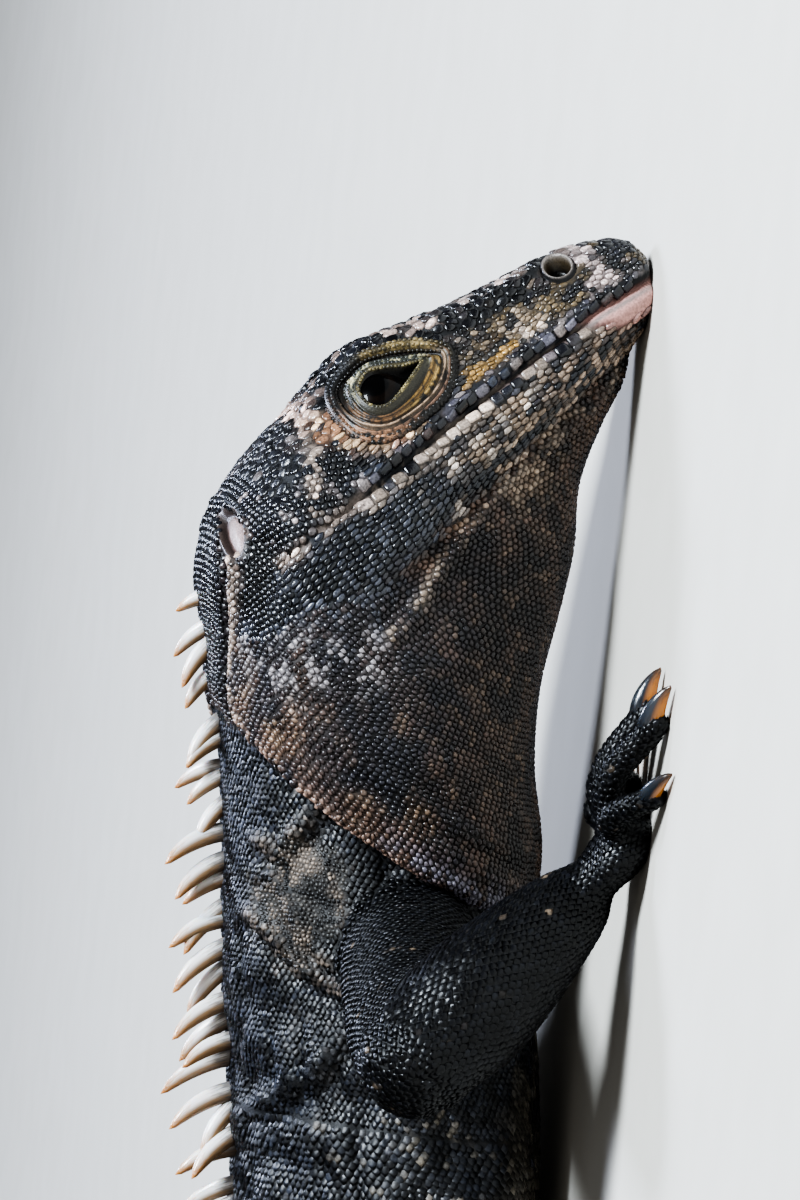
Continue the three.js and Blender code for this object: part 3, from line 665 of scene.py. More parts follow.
SOFT = {(HEAD_PART, THROAT): 5, (TORSO_PART, TAIL_PART): 8, (TORSO_PART, UPPER): 7, (UPPER, LOWER): 4.5,
        (LOWER, PALM): 3.5, (PALM, TOE): 2.2, (THROAT, TORSO_PART): 1.0, (HEAD_PART, TORSO_PART): 3}
radius = np.array([SOFT.get(tuple(two), 1.5) for two in pair.tolist()])
soft = (1 - smooth(0, 1, second / radius)) * (second < FAR)
sides = np.vstack([skin_faces[:, [0, 1]], skin_faces[:, [1, 2]], skin_faces[:, [2, 0]]])
edges = np.unique(np.sort(sides, axis=1), axis=0)
ends = np.vstack([edges, edges[:, ::-1]])
degree = np.bincount(ends[:, 0], minlength=len(skin_points))


def relax(points, share, rounds):
    for _ in range(rounds):
        mean = np.stack([np.bincount(ends[:, 0], points[ends[:, 1], k], len(points)) for k in range(3)], 1)
        points = points + share[:, None] * 0.6 * (mean / degree[:, None] - points)
    return points


skin_points = relax(skin_points, soft, ROUNDS)
print("points in each part:", dict(zip(GROUPS, np.bincount(skin_part, minlength=8).tolist())))

# %% [markdown]
# ## Sculpting the skin
#
# The relief that makes a face is cut into the skin as a sculptor would: ridges and grooves along short
# paths, each with a height and a width. On the head, the paths are given by the distance back from the
# mouth's tip and the height above the mouth line, so both sides get the same. The skin is sunk where a lid,
# a nostril or an ear will be set in as a finer piece of its own.

# %% Paths and outlines on the head
MOUTH = [(-1, .6), (2, 1.0), (8, 1.7), (20, 2.1), (32, 2.0), (44, 1.8), (51, 1.6), (59, 1.4), (70, .9),
         (76, -.6)]
BROW = [(29, 14.4), (33, 16.3), (38, 17.7), (43, 18.1), (48, 17.2), (52.5, 15.6)]
CANTHUS = [(29, 14.4), (21, 12.9), (13, 12.6)]
EAR_HOLLOW = [(71, 3.5), (77, -1.5)]
MANDIBLE = [(203, 1), (194, 7.4), (184, 17.2), (177, 22.9), (170.4, 27.2), (165.6, 30.2), (161, 32.2),
            (156, 36)]
NAPE_GROOVE = [(168, 12.4), (163, 14.2), (157, 13.6), (152, 12), (147, 11.4), (142.5, 11), (139.5, 13.5)]
SHOULDER_FOLDS = [[(124, 51), (121.5, 48), (124, 47.4), (130, 43)],
                  [(118.5, 48.4), (110.5, 44.4), (107, 40)], [(113, 51), (106.5, 44.5), (103, 37)],
                  [(99, 35), (91, 40), (84, 48)], [(104, 52), (94, 49), (80, 51)]]
EYE = dict(at=43.0, up=12.9)
# Three rings round the eye: the opening, the crease of the lid and the lid's outer edge.
OPENING = [(45.7, 12.3), (45.1, 13.8), (42.6, 14.6), (40.3, 13.7), (38.0, 12.4), (36.2, 11.9), (35.2, 11.5),
           (37.6, 10.8), (40.8, 9.9), (43.4, 9.6), (45.2, 10.6)]
LID_FOLD = [(48.6, 12.5), (47.3, 15.6), (42.4, 16.7), (38.6, 15.6), (35.5, 14.0), (33.3, 12.4), (31.9, 10.4),
            (34.6, 7.8), (38.8, 6.7), (44.5, 7.1), (47.6, 9.2)]
LID_EDGE = [(51.4, 12.6), (49.3, 16.6), (42.6, 17.9), (37.6, 16.9), (34.0, 15.4), (31.2, 13.2), (29.4, 10.2),
            (33.0, 5.9), (38.0, 4.5), (45.2, 4.8), (50.0, 7.4)]


def reach(points, path):
    best = np.full(len(points), 1e9)
    for a, b in zip(np.array(path, float), np.array(path, float)[1:]):
        part = np.clip((points - a) @ (b - a) / ((b - a) @ (b - a)), 0, 1)
        best = np.minimum(best, np.linalg.norm(points - a - part[:, None] * (b - a), axis=1))
    return best


def loop(points, count):
    p = np.array(points, float)
    t = np.arange(count) / count * len(p)
    i = np.floor(t).astype(int)
    before, a, b, after = (p[(i + k) % len(p)] for k in (-1, 0, 1, 2))
    return rounded_step(before, a, b, after, (t - i)[:, None])


def inside(points, ring):
    a, b = ring, np.roll(ring, -1, axis=0)
    x, y = points[:, :1], points[:, 1:]
    rise = np.where(b[:, 1] == a[:, 1], 1e-9, b[:, 1] - a[:, 1])
    crosses = ((a[:, 1] > y) != (b[:, 1] > y)) & (x < (b[:, 0] - a[:, 0]) * (y - a[:, 1]) / rise + a[:, 0])
    return crosses.sum(1) % 2 == 1


def hump(points, path, width):
    return np.exp(-(reach(points, path) / width) ** 2)


def shifted(path, by, back=0.0):
    return [(a - back, b + by) for a, b in path]


def mouth_height(at, up):
    return up - np.interp(at, *zip(*MOUTH))


eye_ring = loop(LID_EDGE, 80)
print("lid edge:", len(eye_ring), "points,", eye_ring.min(0).round(1), "to", eye_ring.max(0).round(1))

# %% Push the relief into the skin
NOSTRIL = dict(at=9.2, up=10.5, long=2.35, tall=1.9, turn=math.radians(19))
EAR = dict(at=72.9, up=8.0, long=1.35, tall=3.6, turn=math.radians(34))
PATCH_AT, PATCH_UP = 117, 44  # the middle of the worn patch behind the shoulder


def within(at, up, hole):
    cos, sin = math.cos(hole["turn"]), math.sin(hole["turn"])
    along, over = at - hole["at"], up - hole["up"]
    return np.hypot((along * cos + over * sin) / hole["long"], (over * cos - along * sin) / hole["tall"])


def lip_flesh(points):
    at, up = head_places(points)
    mouth = mouth_height(at, up)
    return smooth(12.5, 9.5, at - 1.1 * mouth) * smooth(0.3, -0.2, mouth) * smooth(-3.7, -3.1, mouth)


def patch_at(points):
    away = np.hypot(points[:, 0] - PATCH_AT, 1.7 * (points[:, 2] - PATCH_UP))
    return smooth(12, 7, away + 9 * (mottle(points, 5, 36) - 0.5)) * (np.abs(points[:, 1]) > 6)


def crease(points, size, seed):
    return (1 - np.abs(2 * noise(points, size, seed) - 1)) ** 3


def head_relief(points, part):
    at, up = head_places(points)
    face, wide = np.stack([at, up], 1), np.abs(points[:, 1])
    whole = part == HEAD_PART
    head = whole & (wide > 2.5)
    side = np.where(head, smooth(2.5, 5, wide), 0)
    lips = smooth(60, 52, at) * side
    eye_gap = reach(face, np.vstack([eye_ring, eye_ring[:1]]))
    ear = within(at, up, EAR)
    return [
        0.9 * hump(face, BROW, 1.3) * side,
        0.6 * hump(face, CANTHUS, 1.3) * side,
        -0.8 * hump(face, [(17, 8), (27, 8)], 3.2) * side,
        -(0.5 + 0.6 * smooth(63, 54, at)) * hump(face, MOUTH, 0.6) * smooth(76, 66, at) * whole,
        -1.2 * hump(face, EAR_HOLLOW, 3.2) * side,
        0.35 * (hump(face, shifted(MOUTH, 1.5), 0.9) + hump(face, shifted(MOUTH, -1.6), 1.0)) * lips,
        1.0 * lip_flesh(points) * whole,
        0.7 * hump(face, [(60, 8), (64, 5)], 5) * side,
        -1.9 * smooth(0, 2.2, eye_gap) * (head & inside(face, eye_ring)),
        -3.0 * smooth(1.2, 0.7, within(at, up, NOSTRIL)) * head,
        -2.0 * smooth(1.1, 0.75, ear) * head,
        0.55 * np.exp(-((ear - 1.25) / 0.16) ** 2) * head]


def body_relief(points, part):
    x, wide, z = points[:, 0], np.abs(points[:, 1]), points[:, 2]
    low, above = np.stack([x, z], 1), np.stack([x, wide], 1)
    torso = part == TORSO_PART
    jaw = np.isin(part, [HEAD_PART, THROAT]) & (wide > 4)
    nape = np.isin(part, [HEAD_PART, THROAT, TORSO_PART]) & (z > 46)
    slack = np.exp(-((x - 78) / 48) ** 2) * torso * smooth(8, 16, z)
    loose = (part == THROAT) * smooth(8, 20, wide)
    edge = behind_fold(points)
    sag = np.sin(edge * 1.15 + 2.6 * noise(points, 11, 10)) * smooth(1.5, 4, edge) * smooth(17, 9, edge)
    flank = torso * (wide > 8)
    return [
        jaw * (0.9 * hump(low, MANDIBLE, 1.1) - 0.6 * hump(low, shifted(MANDIBLE, 3), 1.8)),
        nape * (0.5 * hump(above, shifted(NAPE_GROOVE, 3.2), 1.2) - 2.3 * hump(above, NAPE_GROOVE, 1.25)),
        *[flank * (1.3 * hump(low, fold, 1.0) - 1.0 * hump(low, shifted(fold, -0.6, 2.3), 1.2))
          for fold in SHOULDER_FOLDS],
        1.2 * slack * (mottle(points * [1, 0.6, 0.5], 8, 8) - 0.5),
        -1.3 * slack * crease(points * [0.5, 1, 1], 5.5, 18) * smooth(54, 44, z),
        -1.1 * slack * crease(points * [1, 0.7, 0.6], 6.5, 28) * smooth(60, 90, x),
        -0.5 * patch_at(points) * torso * crease(points, 2.6, 37),
        0.7 * loose * (mottle(points * [1.2, 0.5, 0.5], 7, 9) - 0.5),
        0.38 * loose * sag * smooth(50, 36, z)]


plain_points = skin_points.copy()
plain_tree = tree_of(plain_points, skin_faces)
lift = sum(head_relief(skin_points, skin_part) + body_relief(skin_points, skin_part))
skin_points += lift[:, None] * point_normals(skin_points, skin_faces)
skin_points[:, 2] = np.maximum(skin_points[:, 2], 0.12)
skin_points = np.clip(skin_points, *SOLID_BOX)
skin_normals = point_normals(skin_points, skin_faces)
skin_tree = tree_of(skin_points, skin_faces)
print("relief cut, lowest point", skin_points[:, 2].min().round(2))

# %% [markdown]
# ## Markings
#
# The hide is slate black. The face is broken up with cream along the jaw, ochre and peach round the eye and
# pinkish tan on the snout. The throat is a warm brown with dark flecks, and the shoulder has one pale,
# mottled patch. One function gives the colour at any point, and skin and scales both ask it, so they match.
# Blotches come from noise, and their places from the same paths as the relief.

# %% Colour of the body, throat and nape
def markings(points, part):
    patterns = {name: mottle(points, size, seed) for name, size, seed in (
        ("speck", 1.3, 6), ("fine", 2.4, 1), ("small", 5, 2), ("broad", 14, 3))}
    tint = np.tile(linear("#0e0f13"), (len(points), 1))
    for marks in (body_marks, throat_marks, face_marks, nape_marks):
        tint = paint(tint, marks(points, part, **patterns))
    return tint


def body_marks(points, part, speck, fine, small, broad):
    x, wide, z = points[:, 0], np.abs(points[:, 1]), points[:, 2]
    torso, tail = part == TORSO_PART, part == TAIL_PART
    limbs = np.isin(part, [UPPER, LOWER, PALM, TOE])
    band = np.sin(x / 9.0 + 2.2 * broad + 0.4)
    rings = np.sin(x / 8.5 + 0.5 * broad)
    patch = torso * patch_at(points)
    folds = sum(hump(np.stack([x, z], 1), fold, 0.9) for fold in SHOULDER_FOLDS[:3]) * torso * (wide > 6)
    return [
        ("#23262e", smooth(0.45, 0.65, speck)),
        ("#343334", torso * smooth(0.52, 0.66, speck) * smooth(0.48, 0.64, small)),
        ("#756d5f", torso * smooth(0.62, 0.74, speck) * smooth(0.54, 0.66, broad) * 0.5),
        ("#08080a", torso * smooth(0.2, 0.7, band) * 0.8),
        ("#5f5a50", torso * smooth(14, 5, z) * smooth(0.4, 0.6, small) * 0.7),
        # Painted sheen: bluish grey specks along the top of the back stand for the glints of light from
        # above.
        ("#33353e", torso * smooth(45, 52, z) * smooth(0.46, 0.58, speck) * 0.6),
        ("#33312f", patch * 0.95),
        ("#504d49", patch * smooth(0.44, 0.6, fine) * smooth(110, 118, x)),
        ("#6e6359", patch * smooth(0.56, 0.68, mottle(points, 3.4, 16)) * 0.9),
        ("#100f10", patch * smooth(0.45, 0.8, crease(points, 4.2, 38))),
        ("#141314", patch * smooth(0.48, 0.58, mottle(points, 2.4, 26)) * smooth(120, 113, x)),
        ("#635950", folds * smooth(0.4, 0.6, speck) * 0.8),
        ("#050507", limbs * 0.85),
        ("#6d5f50", limbs * smooth(0.74, 0.84, speck) * smooth(0.45, 0.6, small) * 0.8),
        ("#4d4a44", tail * smooth(0.1, 0.6, rings) * 0.8),
        ("#8d8471", tail * smooth(0.3, 0.8, rings) * smooth(0.5, 0.65, fine) * 0.8)]


def throat_marks(points, part, speck, fine, small, broad):
    x, wide, z = points[:, 0], np.abs(points[:, 1]), points[:, 2]
    low = np.stack([x, z], 1)
    throat = part == THROAT
    warm = throat | ((part == HEAD_PART) & (head_places(points)[1] < -8))
    chin = warm * smooth(172, 182, x) * smooth(10, 16, z)
    slate = warm * smooth(0.36, 0.6, mottle(points, 11, 12)) * smooth(14, 34, z)
    jowl = warm * smooth(150, 158, x) * smooth(30, 38, z)
    # shine: pale specks painted on the upper throat as glints, a painted highlight.
    shine = throat * hump(low, [(156, 57), (150, 50), (152, 40)], 4.5) * smooth(0.5, 0.64, speck)
    edge = behind_fold(points)
    rim = throat * smooth(9, 1.5, edge)
    # gleam: grey-lilac specks painted on the lower fold as glints, a painted highlight.
    gleam = throat * smooth(7, 2, edge) * smooth(38, 30, z) * smooth(8, 14, z)
    # ridge: pale along the jaw's ridge, partly its own cream scales and partly a painted highlight where the
    # ridge catches the light.
    ridge = hump(low, MANDIBLE, 1.0) * warm * smooth(3, 6, wide)
    return [
        ("#372b25", warm * 0.9),
        ("#685245", warm * smooth(0.4, 0.62, small) * (0.4 + 0.4 * smooth(0.4, 0.6, broad))),
        ("#86705c", warm * smooth(0.56, 0.7, speck) * 0.45),
        ("#181619", warm * smooth(0.48, 0.62, mottle(points, 4.6, 7)) * 0.8),
        # Painted shade: the throat darkens towards its underside.
        ("#191515", throat * smooth(30, 12, z) * 0.5),
        ("#6d5c4d", chin * smooth(0.4, 0.56, fine) * 0.8),
        ("#9b8a79", chin * smooth(0.56, 0.66, speck) * 0.8),
        ("#22232a", slate * 0.7),
        ("#383a42", jowl * smooth(0.42, 0.56, speck) * smooth(0.4, 0.52, fine) * 0.9),
        ("#8b8688", shine * 0.9),
        ("#5e4b42", rim * smooth(0.36, 0.55, fine) * smooth(58, 44, z) * 0.6),
        ("#66636e", gleam * smooth(0.35, 0.5, speck) * 0.9),
        ("#9a8072", throat * smooth(2.4, 0.8, edge) * smooth(22, 32, z) * smooth(0.3, 0.5, fine)),
        ("#85776a", ridge * smooth(0.46, 0.58, fine) * 0.9)]


def nape_marks(points, part, speck, fine, small, broad):
    x, wide, z = points[:, 0], np.abs(points[:, 1]), points[:, 2]
    above = np.stack([x, wide], 1)
    strap = np.isin(part, [THROAT, HEAD_PART]) * smooth(46, 50, z) * smooth(174, 170, x)
    return [
        ("#17181d", strap * smooth(14, 11, wide) * 0.9),
        ("#97867a", strap * hump(above, shifted(NAPE_GROOVE, 3.0), 0.9) * smooth(0.38, 0.56, fine)),
        # Painted shade: dark brown laid into the nape's groove.
        ("#2c1d16", strap * hump(above, NAPE_GROOVE, 1.3))]


# %% Colour of the face
JAW_CREAM = [(55, 1.4), (62, 1.2), (70, 0.6)]
# The dark line just under the canthus ridge is painted shade, the ridge's shadow.
CANTHAL_SHADOW = [(37, 15.6), (29, 13.2), (21.6, 11.6), (17, 11.2), (11.5, 12.9), (8, 13)]
PALE_STRIPE = [(53.8, 13), (56.4, 11), (59, 8), (61.6, 4.2)]
PEACH_CRESCENT = [(53.5, 13.2), (50.7, 9.4), (46, 6.2), (40, 4.8)]
OCHRE_STREAK = [(20, 5.4), (33, 5.2)]


def face_marks(points, part, speck, fine, small, broad):
    at, up = head_places(points)
    face, head = np.stack([at, up], 1), part == HEAD_PART
    mouth = mouth_height(at, up)
    streak = mottle(np.stack([at / 3.2, mouth, np.sign(points[:, 1]) * 40], 1), 1.5, 17)
    low_face = head * smooth(-12, -8, up) * smooth(3.5, 1.5, mouth)
    cheek = head * smooth(40, 50, at) * smooth(1.5, 0, mouth)
    loreal = head * smooth(35, 29, at) * smooth(1.5, 3, mouth)
    front_jaw = head * smooth(27, 17, at) * smooth(-2.0, -3.2, mouth)
    labial = head * smooth(3.2, 2.2, np.abs(mouth)) * smooth(57, 53, at)
    snout = head * smooth(10.5, 8, at) * smooth(2.2, 3.2, mouth)
    flesh = smooth(13, 10, at - 1.1 * mouth) * smooth(0.9, 0.2, mouth) * smooth(-4.4, -3.4, mouth)
    seam = smooth(34, 26, at) * smooth(-0.1, -0.5, mouth) * smooth(-1.2, -0.8, mouth)
    crown = head * smooth(10.5, 13.5, up)
    temple = head * smooth(54, 60, at) * smooth(0.5, 2, mouth)
    pale, peach = head * hump(face, PALE_STRIPE, 0.95), head * hump(face, PEACH_CRESCENT, 1.7)
    spot = head * smooth(3.0, 1.4, np.hypot(at - 53.6, 1.2 * (up - 16.4)))
    ear = head * smooth(1.9, 1.2, within(at, up, EAR)) * (up < 9)
    return [
        ("#14161c", low_face * 0.95),
        ("#4a3e35", low_face * smooth(46, 34, at) * smooth(0.35, 0.5, streak)),
        ("#8d7a68", low_face * smooth(50, 26, at) * smooth(0.5, 0.6, streak) * 0.9),
        ("#b3a79c", low_face * smooth(56, 44, at) * smooth(0.58, 0.66, streak)
         * smooth(0.46, 0.56, fine) * 0.9),
        ("#15171f", low_face * smooth(0.52, 0.6, mottle(points, 2.0, 29)) * 0.85),
        ("#35373f", cheek * smooth(0.42, 0.56, speck) * smooth(0.38, 0.5, small) * 0.9),
        ("#2b2825", loreal * 0.95),
        ("#5d4f3a", loreal * smooth(0.4, 0.52, streak) * 0.85),
        ("#7b6c5c", loreal * smooth(0.48, 0.58, small) * smooth(0.42, 0.54, fine)),
        ("#aa9a8d", loreal * smooth(0.57, 0.64, speck) * smooth(0.42, 0.56, small)),
        ("#111116", loreal * smooth(0.48, 0.54, mottle(points, 2.2, 19)) * 0.95),
        ("#5b4d43", front_jaw * smooth(0.4, 0.52, streak) * 0.8),
        ("#94806f", front_jaw * smooth(0.5, 0.6, speck) * 0.8),
        ("#7d6238", head * hump(face, OCHRE_STREAK, 2.0) * smooth(0.4, 0.55, streak) * 1.1),
        ("#23262f", labial * 0.85),
        ("#54525c", labial * (mouth > 0) * smooth(0.48, 0.56, fine)),
        ("#978c88", labial * smooth(0.56, 0.64, speck) * 0.8),
        ("#8b7d71", labial * (mouth < 0) * smooth(0.42, 0.52, fine) * 0.9),
        ("#a39390", snout * smooth(0.42, 0.5, small) * 0.9),
        ("#101015", snout * smooth(0.54, 0.6, mottle(points, 2.4, 49))),
        ("#121217", labial * smooth(0.54, 0.6, mottle(points, 2.2, 23))),
        ("#b98e86", head * flesh),
        ("#7e6f6a", head * seam),
        ("#17171c", head * smooth(3.6, 2.0, at) * smooth(1.5, 3, up) * 0.4),
        ("#101116", crown * 0.9),
        ("#a89993", crown * smooth(28, 18, at) * smooth(0.44, 0.52, small) * 0.9),
        ("#8f7d74", crown * smooth(0.54, 0.62, small) * smooth(0.44, 0.56, fine)),
        ("#0c0c10", crown * smooth(0.52, 0.58, mottle(points, 2.6, 39))),
        # Painted shade under the canthus ridge.
        ("#0a0a0d", head * hump(face, CANTHAL_SHADOW, 1.25) * 1.3),
        ("#15161b", temple * 0.95),
        ("#7d7472", temple * smooth(0.62, 0.72, speck) * smooth(0.52, 0.62, fine)),
        # Painted shade: the hollow below the ear is near black.
        ("#0a0a0c", head * hump(face, EAR_HOLLOW, 3.4)),
        ("#94847a", head * hump(face, JAW_CREAM, 0.9) * smooth(0.35, 0.5, fine)),
        ("#94857a", pale * 1.1 * smooth(0.42, 0.56, speck)),
        ("#805f48", peach * 1.2 * smooth(0.38, 0.56, fine)),
        ("#b59a7c", peach * 1.2 * smooth(0.53, 0.61, speck)),
        ("#b0968a", spot * smooth(0.36, 0.54, speck) * 0.9),
        ("#7d6a62", ear * smooth(0.45, 0.6, fine))]


# %% Dress the skin in its markings
# Painted shade: the skin under the scales is kept at less than half the markings' brightness, as the shade
# in the gaps between scales, while the bare lips keep nearly their full colour.
bared = np.where(skin_part == HEAD_PART, lip_flesh(skin_points), 0)
skin_tint = (0.45 + 0.5 * bared)[:, None] * markings(skin_points, skin_part)
skin = make_mesh("skin", skin_points, skin_faces, bare_skin, skin_tint)
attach(skin, "root")
flesh = [name for name in frame["nodes"] if not name.startswith(("eye_", "ear_"))]
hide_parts(*flesh)
print("skin replaces", len(flesh), "solids")

# %% [markdown]
# ## Shapes of scale
#
# Under a hand lens the scales differ by place. Those of the throat are oval beads. Those of the back and
# limbs are shingles, each with a keel down its middle and a free tip. The head bears flat plates with
# bevelled edges. Each is a small template of a few faces, one wide and one long, with its rim in the skin.

# %% Templates of beads, plates and shingles
# Each template carries painted shading: its rim, sunk in the skin, is painted dark as the shade in the gaps
# between scales, and its top is painted lighter as a highlight.
def dome(sides, rings, top, square=2.0, rim=0.22):
    angle = (np.arange(sides) + 0.5) / sides * 2 * np.pi
    x, y = (np.sign(v) * np.abs(v) ** (2 / square) * 0.5 for v in (np.cos(angle), np.sin(angle)))
    tiers = [np.stack([x * size, y * size, np.full(sides, z)], 1) for size, z in rings]
    points = np.vstack([*tiers, [[0, 0.04, top]]])
    j = np.arange(sides)
    k = (j + 1) % sides
    faces = []
    for level in range(len(rings) - 1):
        a, b = level * sides + j, level * sides + k
        faces += [np.stack([a, b, b + sides], 1), np.stack([a, b + sides, a + sides], 1)]
    high = (len(rings) - 1) * sides
    faces.append(np.stack([high + j, high + k, np.full(sides, len(points) - 1)], 1))
    shade = np.interp(points[:, 2], [rings[0][1], rings[1][1], top], [rim, 0.95, 1.15])
    return points, np.vstack(faces), shade


# Each dome has rings of (size, height), from the rim up.
BEAD = dome(6, [(0.98, -0.14), (0.62, 0.26)], 0.36)
FLAT_BEAD = dome(6, [(0.98, -0.16), (0.82, 0.2), (0.52, 0.3)], 0.33)
FINE_BEAD = dome(8, [(0.98, -0.16), (0.84, 0.2), (0.6, 0.28)], 0.32)
# The rim value sets how dark the painted shade at the rim is; plates and granules get less of it.
PLATE = dome(9, [(1.0, -0.16), (0.87, 0.16), (0.62, 0.23)], 0.25, rim=0.5)
GRANULE = dome(8, [(1.0, -0.14), (0.86, 0.14), (0.6, 0.21)], 0.24, rim=0.45)
BELLY_PLATE = dome(6, [(1.12, -0.15), (0.94, 0.16)], 0.26)
SHIELD = dome(12, [(1.0, -0.2), (0.9, 0.16), (0.6, 0.26)], 0.29, square=4.5)
# A shingle's third array is its painted shading: dark at its root and underside, as shade, and light at its
# tip and keel, as a painted highlight.
SHINGLE = (
    np.array([(-.42, -.5, -.12), (.42, -.5, -.12), (-.54, 0, .02), (.54, 0, .02), (0, .62, .24),
              (0, -.5, .04), (0, .12, .34), (0, .05, -.22)]),
    np.array([(0, 5, 6), (0, 6, 2), (5, 1, 3), (5, 3, 6), (2, 6, 4), (6, 3, 4), (2, 4, 7), (4, 3, 7)]),
    np.array([.4, .4, .7, .7, 1.2, .8, 1.25, .3]))
print("faces in a bead, a plate, a shield and a shingle:",
      [len(shape[1]) for shape in (BEAD, PLATE, SHIELD, SHINGLE)])

# %% [markdown]
# ## Rows of scales
#
# Scales grow in rings round the body, each ring set half a step off the last, like roof tiles. The rings are
# taken from the tubes' grids at even steps. The number in a ring changes only where the girth has changed by
# a seventh, as it does on the animal. Each root is then set down on the finished skin, and is kept only
# where the skin came from the same tube, so no two coats overlap.

# %% Find roots, settle them and lay scales
NEIGHBOURS = 8  # how many neighbours a scale looks at to find its room
BAKE_PATCH = 0.003  # the width of a scale's patch on the map named OFBake


def roots_on(grid, pitch, step, skew=0.5):
    rings, around = grid.shape[:2]
    walk = np.r_[0, np.cumsum(np.linalg.norm(np.diff(grid, axis=0), axis=2).mean(1))]
    spots = np.interp(np.arange(step, walk[-1] - step / 2, step), walk, np.arange(rings))
    found, count = [], 0
    for number, spot in enumerate(spots):
        i = min(int(spot), rings - 2)
        ring = grid[i] + (grid[i + 1] - grid[i]) * (spot - i)
        girth = np.linalg.norm(ring - np.roll(ring, -1, axis=0), axis=1).sum()
        if count == 0 or not 0.87 < girth / pitch / count < 1.15:
            count = max(int(round(girth / pitch)), 4)
        share = (np.arange(count) + skew * (number % 2) + 0.25) / count % 1
        j = share * around
        low = j.astype(int) % around
        part = (j - np.floor(j))[:, None]
        root = ring[low] * (1 - part) + ring[(low + 1) % around] * part
        way = (grid[i + 1] - grid[i])[low]
        chart = np.stack([np.full(count, 0.02 + 0.96 * spot / rings), 0.02 + 0.96 * share], 1)
        found.append(np.hstack([root, unit(way), np.full((count, 1), girth / count), chart]))
    found = np.vstack(found)
    return dict(root=found[:, :3], way=found[:, 3:6], pitch=found[:, 6], chart=found[:, 7:])


def chosen(roots, keep):
    return {key: value[keep] for key, value in roots.items()}


def flattened(way, normal):
    return unit(way - (way * normal).sum(1)[:, None] * normal)


def settle(roots, part, jitter=0.08, limit=2.8):
    shift = random.normal(0, jitter, roots["root"].shape) * roots["pitch"][:, None]
    hits = [plain_tree.find_nearest(point, limit) for point in (roots["root"] + shift).tolist()]
    keep = np.array([hit[0] is not None for hit in hits])
    face = skin_faces[np.array([hit[2] for hit in hits if hit[0] is not None], int)]
    roots = chosen(roots, keep)
    spot = np.array([tuple(hit[0]) for hit in hits if hit[0] is not None])
    a, b, c = (plain_points[face[:, k]] for k in range(3))
    b, c, spot = b - a, c - a, spot - a
    bb, bc, cc, sb, sc = ((u * v).sum(1) for u, v in ((b, b), (b, c), (c, c), (spot, b), (spot, c)))
    whole = np.maximum(bb * cc - bc * bc, 1e-9)
    second, third = (cc * sb - bc * sc) / whole, (bb * sc - bc * sb) / whole
    shares = np.clip(np.stack([1 - second - third, second, third], 1), 0, 1)
    roots["root"] = sum(shares[:, k:k + 1] * skin_points[face[:, k]] for k in range(3))
    roots["normal"] = unit(skin_normals[face].sum(1))
    return chosen(roots, (skin_part[face] == part).sum(1) >= 2)


# How far each scale can reach on each side before it meets its neighbour, in its own width and length.
def cells(roots, wide, long, sides, most=0.72):
    places = roots["root"].tolist()
    tree = KDTree(len(places))
    for number, point in enumerate(places):
        tree.insert(point, number)
    tree.balance()
    near = [[item[1] for item in tree.find_n(point, NEIGHBOURS + 1)][1:] for point in places]
    away = roots["root"][np.array(near)] - roots["root"][:, None]
    way = flattened(roots["way"], roots["normal"])
    cross = np.cross(way, roots["normal"])
    size = np.stack([np.broadcast_to(v, len(way)) for v in (wide, long)], 1)
    flat = np.stack([(away * v[:, None]).sum(2) for v in (cross, way)], 2) / size[:, None]
    angle = (np.arange(sides) + 0.5) / sides * 2 * np.pi
    toward = flat @ np.stack([np.cos(angle), np.sin(angle)])
    meet = np.where(toward > 0.02, 0.5 * (flat ** 2).sum(2)[..., None] / np.maximum(toward, 0.02), most)
    return np.minimum(meet.min(1), most)


def lay(shape, roots, wide, long, high, tint, tilt=0.07, uneven=0.07, fill=None, vary=0.3):
    points, faces, shade = shape
    count = len(roots["root"])
    normal = unit(roots["normal"] + random.normal(0, tilt, (count, 3)))
    way = flattened(roots["way"], normal)
    cross = np.cross(way, normal)
    size = np.stack([np.broadcast_to(v, count) for v in (wide, long, high)], 1)
    local = points * (size * (1 + uneven * random.uniform(-1, 1, (count, 3))))[:, None]
    if fill is not None:
        room = cells(roots, size[:, 0], size[:, 1], fill) * 2
        spread = np.hstack([np.tile(room, (len(points) - 1) // fill), np.ones((count, 1))])
        local = local * np.stack([spread, spread, np.ones_like(spread)], 2)
    axes = (cross, way, normal)
    placed = roots["root"][:, None] + sum(v[:, None] * local[..., k:k + 1] for k, v in enumerate(axes))
    placed[..., 2] = np.maximum(placed[..., 2], 0.02)
    joined = faces + len(points) * np.arange(count)[:, None, None]
    bright = np.clip(np.exp(random.normal(0, vary, (count, 1))), 0.45, 2.1)
    # Each scale's colour is its markings times a random tone, times the template's painted shading.
    colours = (tint * bright)[:, None] * shade[:, None]
    chart = roots["chart"][:, None] + points[:, :2] * BAKE_PATCH
    return placed.reshape(-1, 3), joined.reshape(-1, 3), colours.reshape(-1, 3), chart.reshape(-1, 2)


def coat(name, layers, material):
    points, faces = join_arrays([layer[:2] for layer in layers])
    points = np.clip(points, *SOLID_BOX)
    tint, chart = (np.vstack([layer[k] for layer in layers]) for k in (2, 3))
    piece = make_mesh(name, points, faces, material, tint, chart)
    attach(piece, "root")
    print(f"{name}: {len(faces)} triangles")


def hide_of(roots, part):
    return markings(roots["root"], np.full(len(roots["root"]), part))


# %% [markdown]
# ## Throat, torso and belly
#
# The beads of the throat are longer than wide and lie along the head's own line near the jaw, which gives
# the picture its slanting strings of glints. Further back they turn to lie along the body. The back has
# keeled shingles, and the belly larger, flatter plates.

# %% Coat the throat
THROAT_SPLIT = 142  # the throat's coat is made in two pieces, which part here


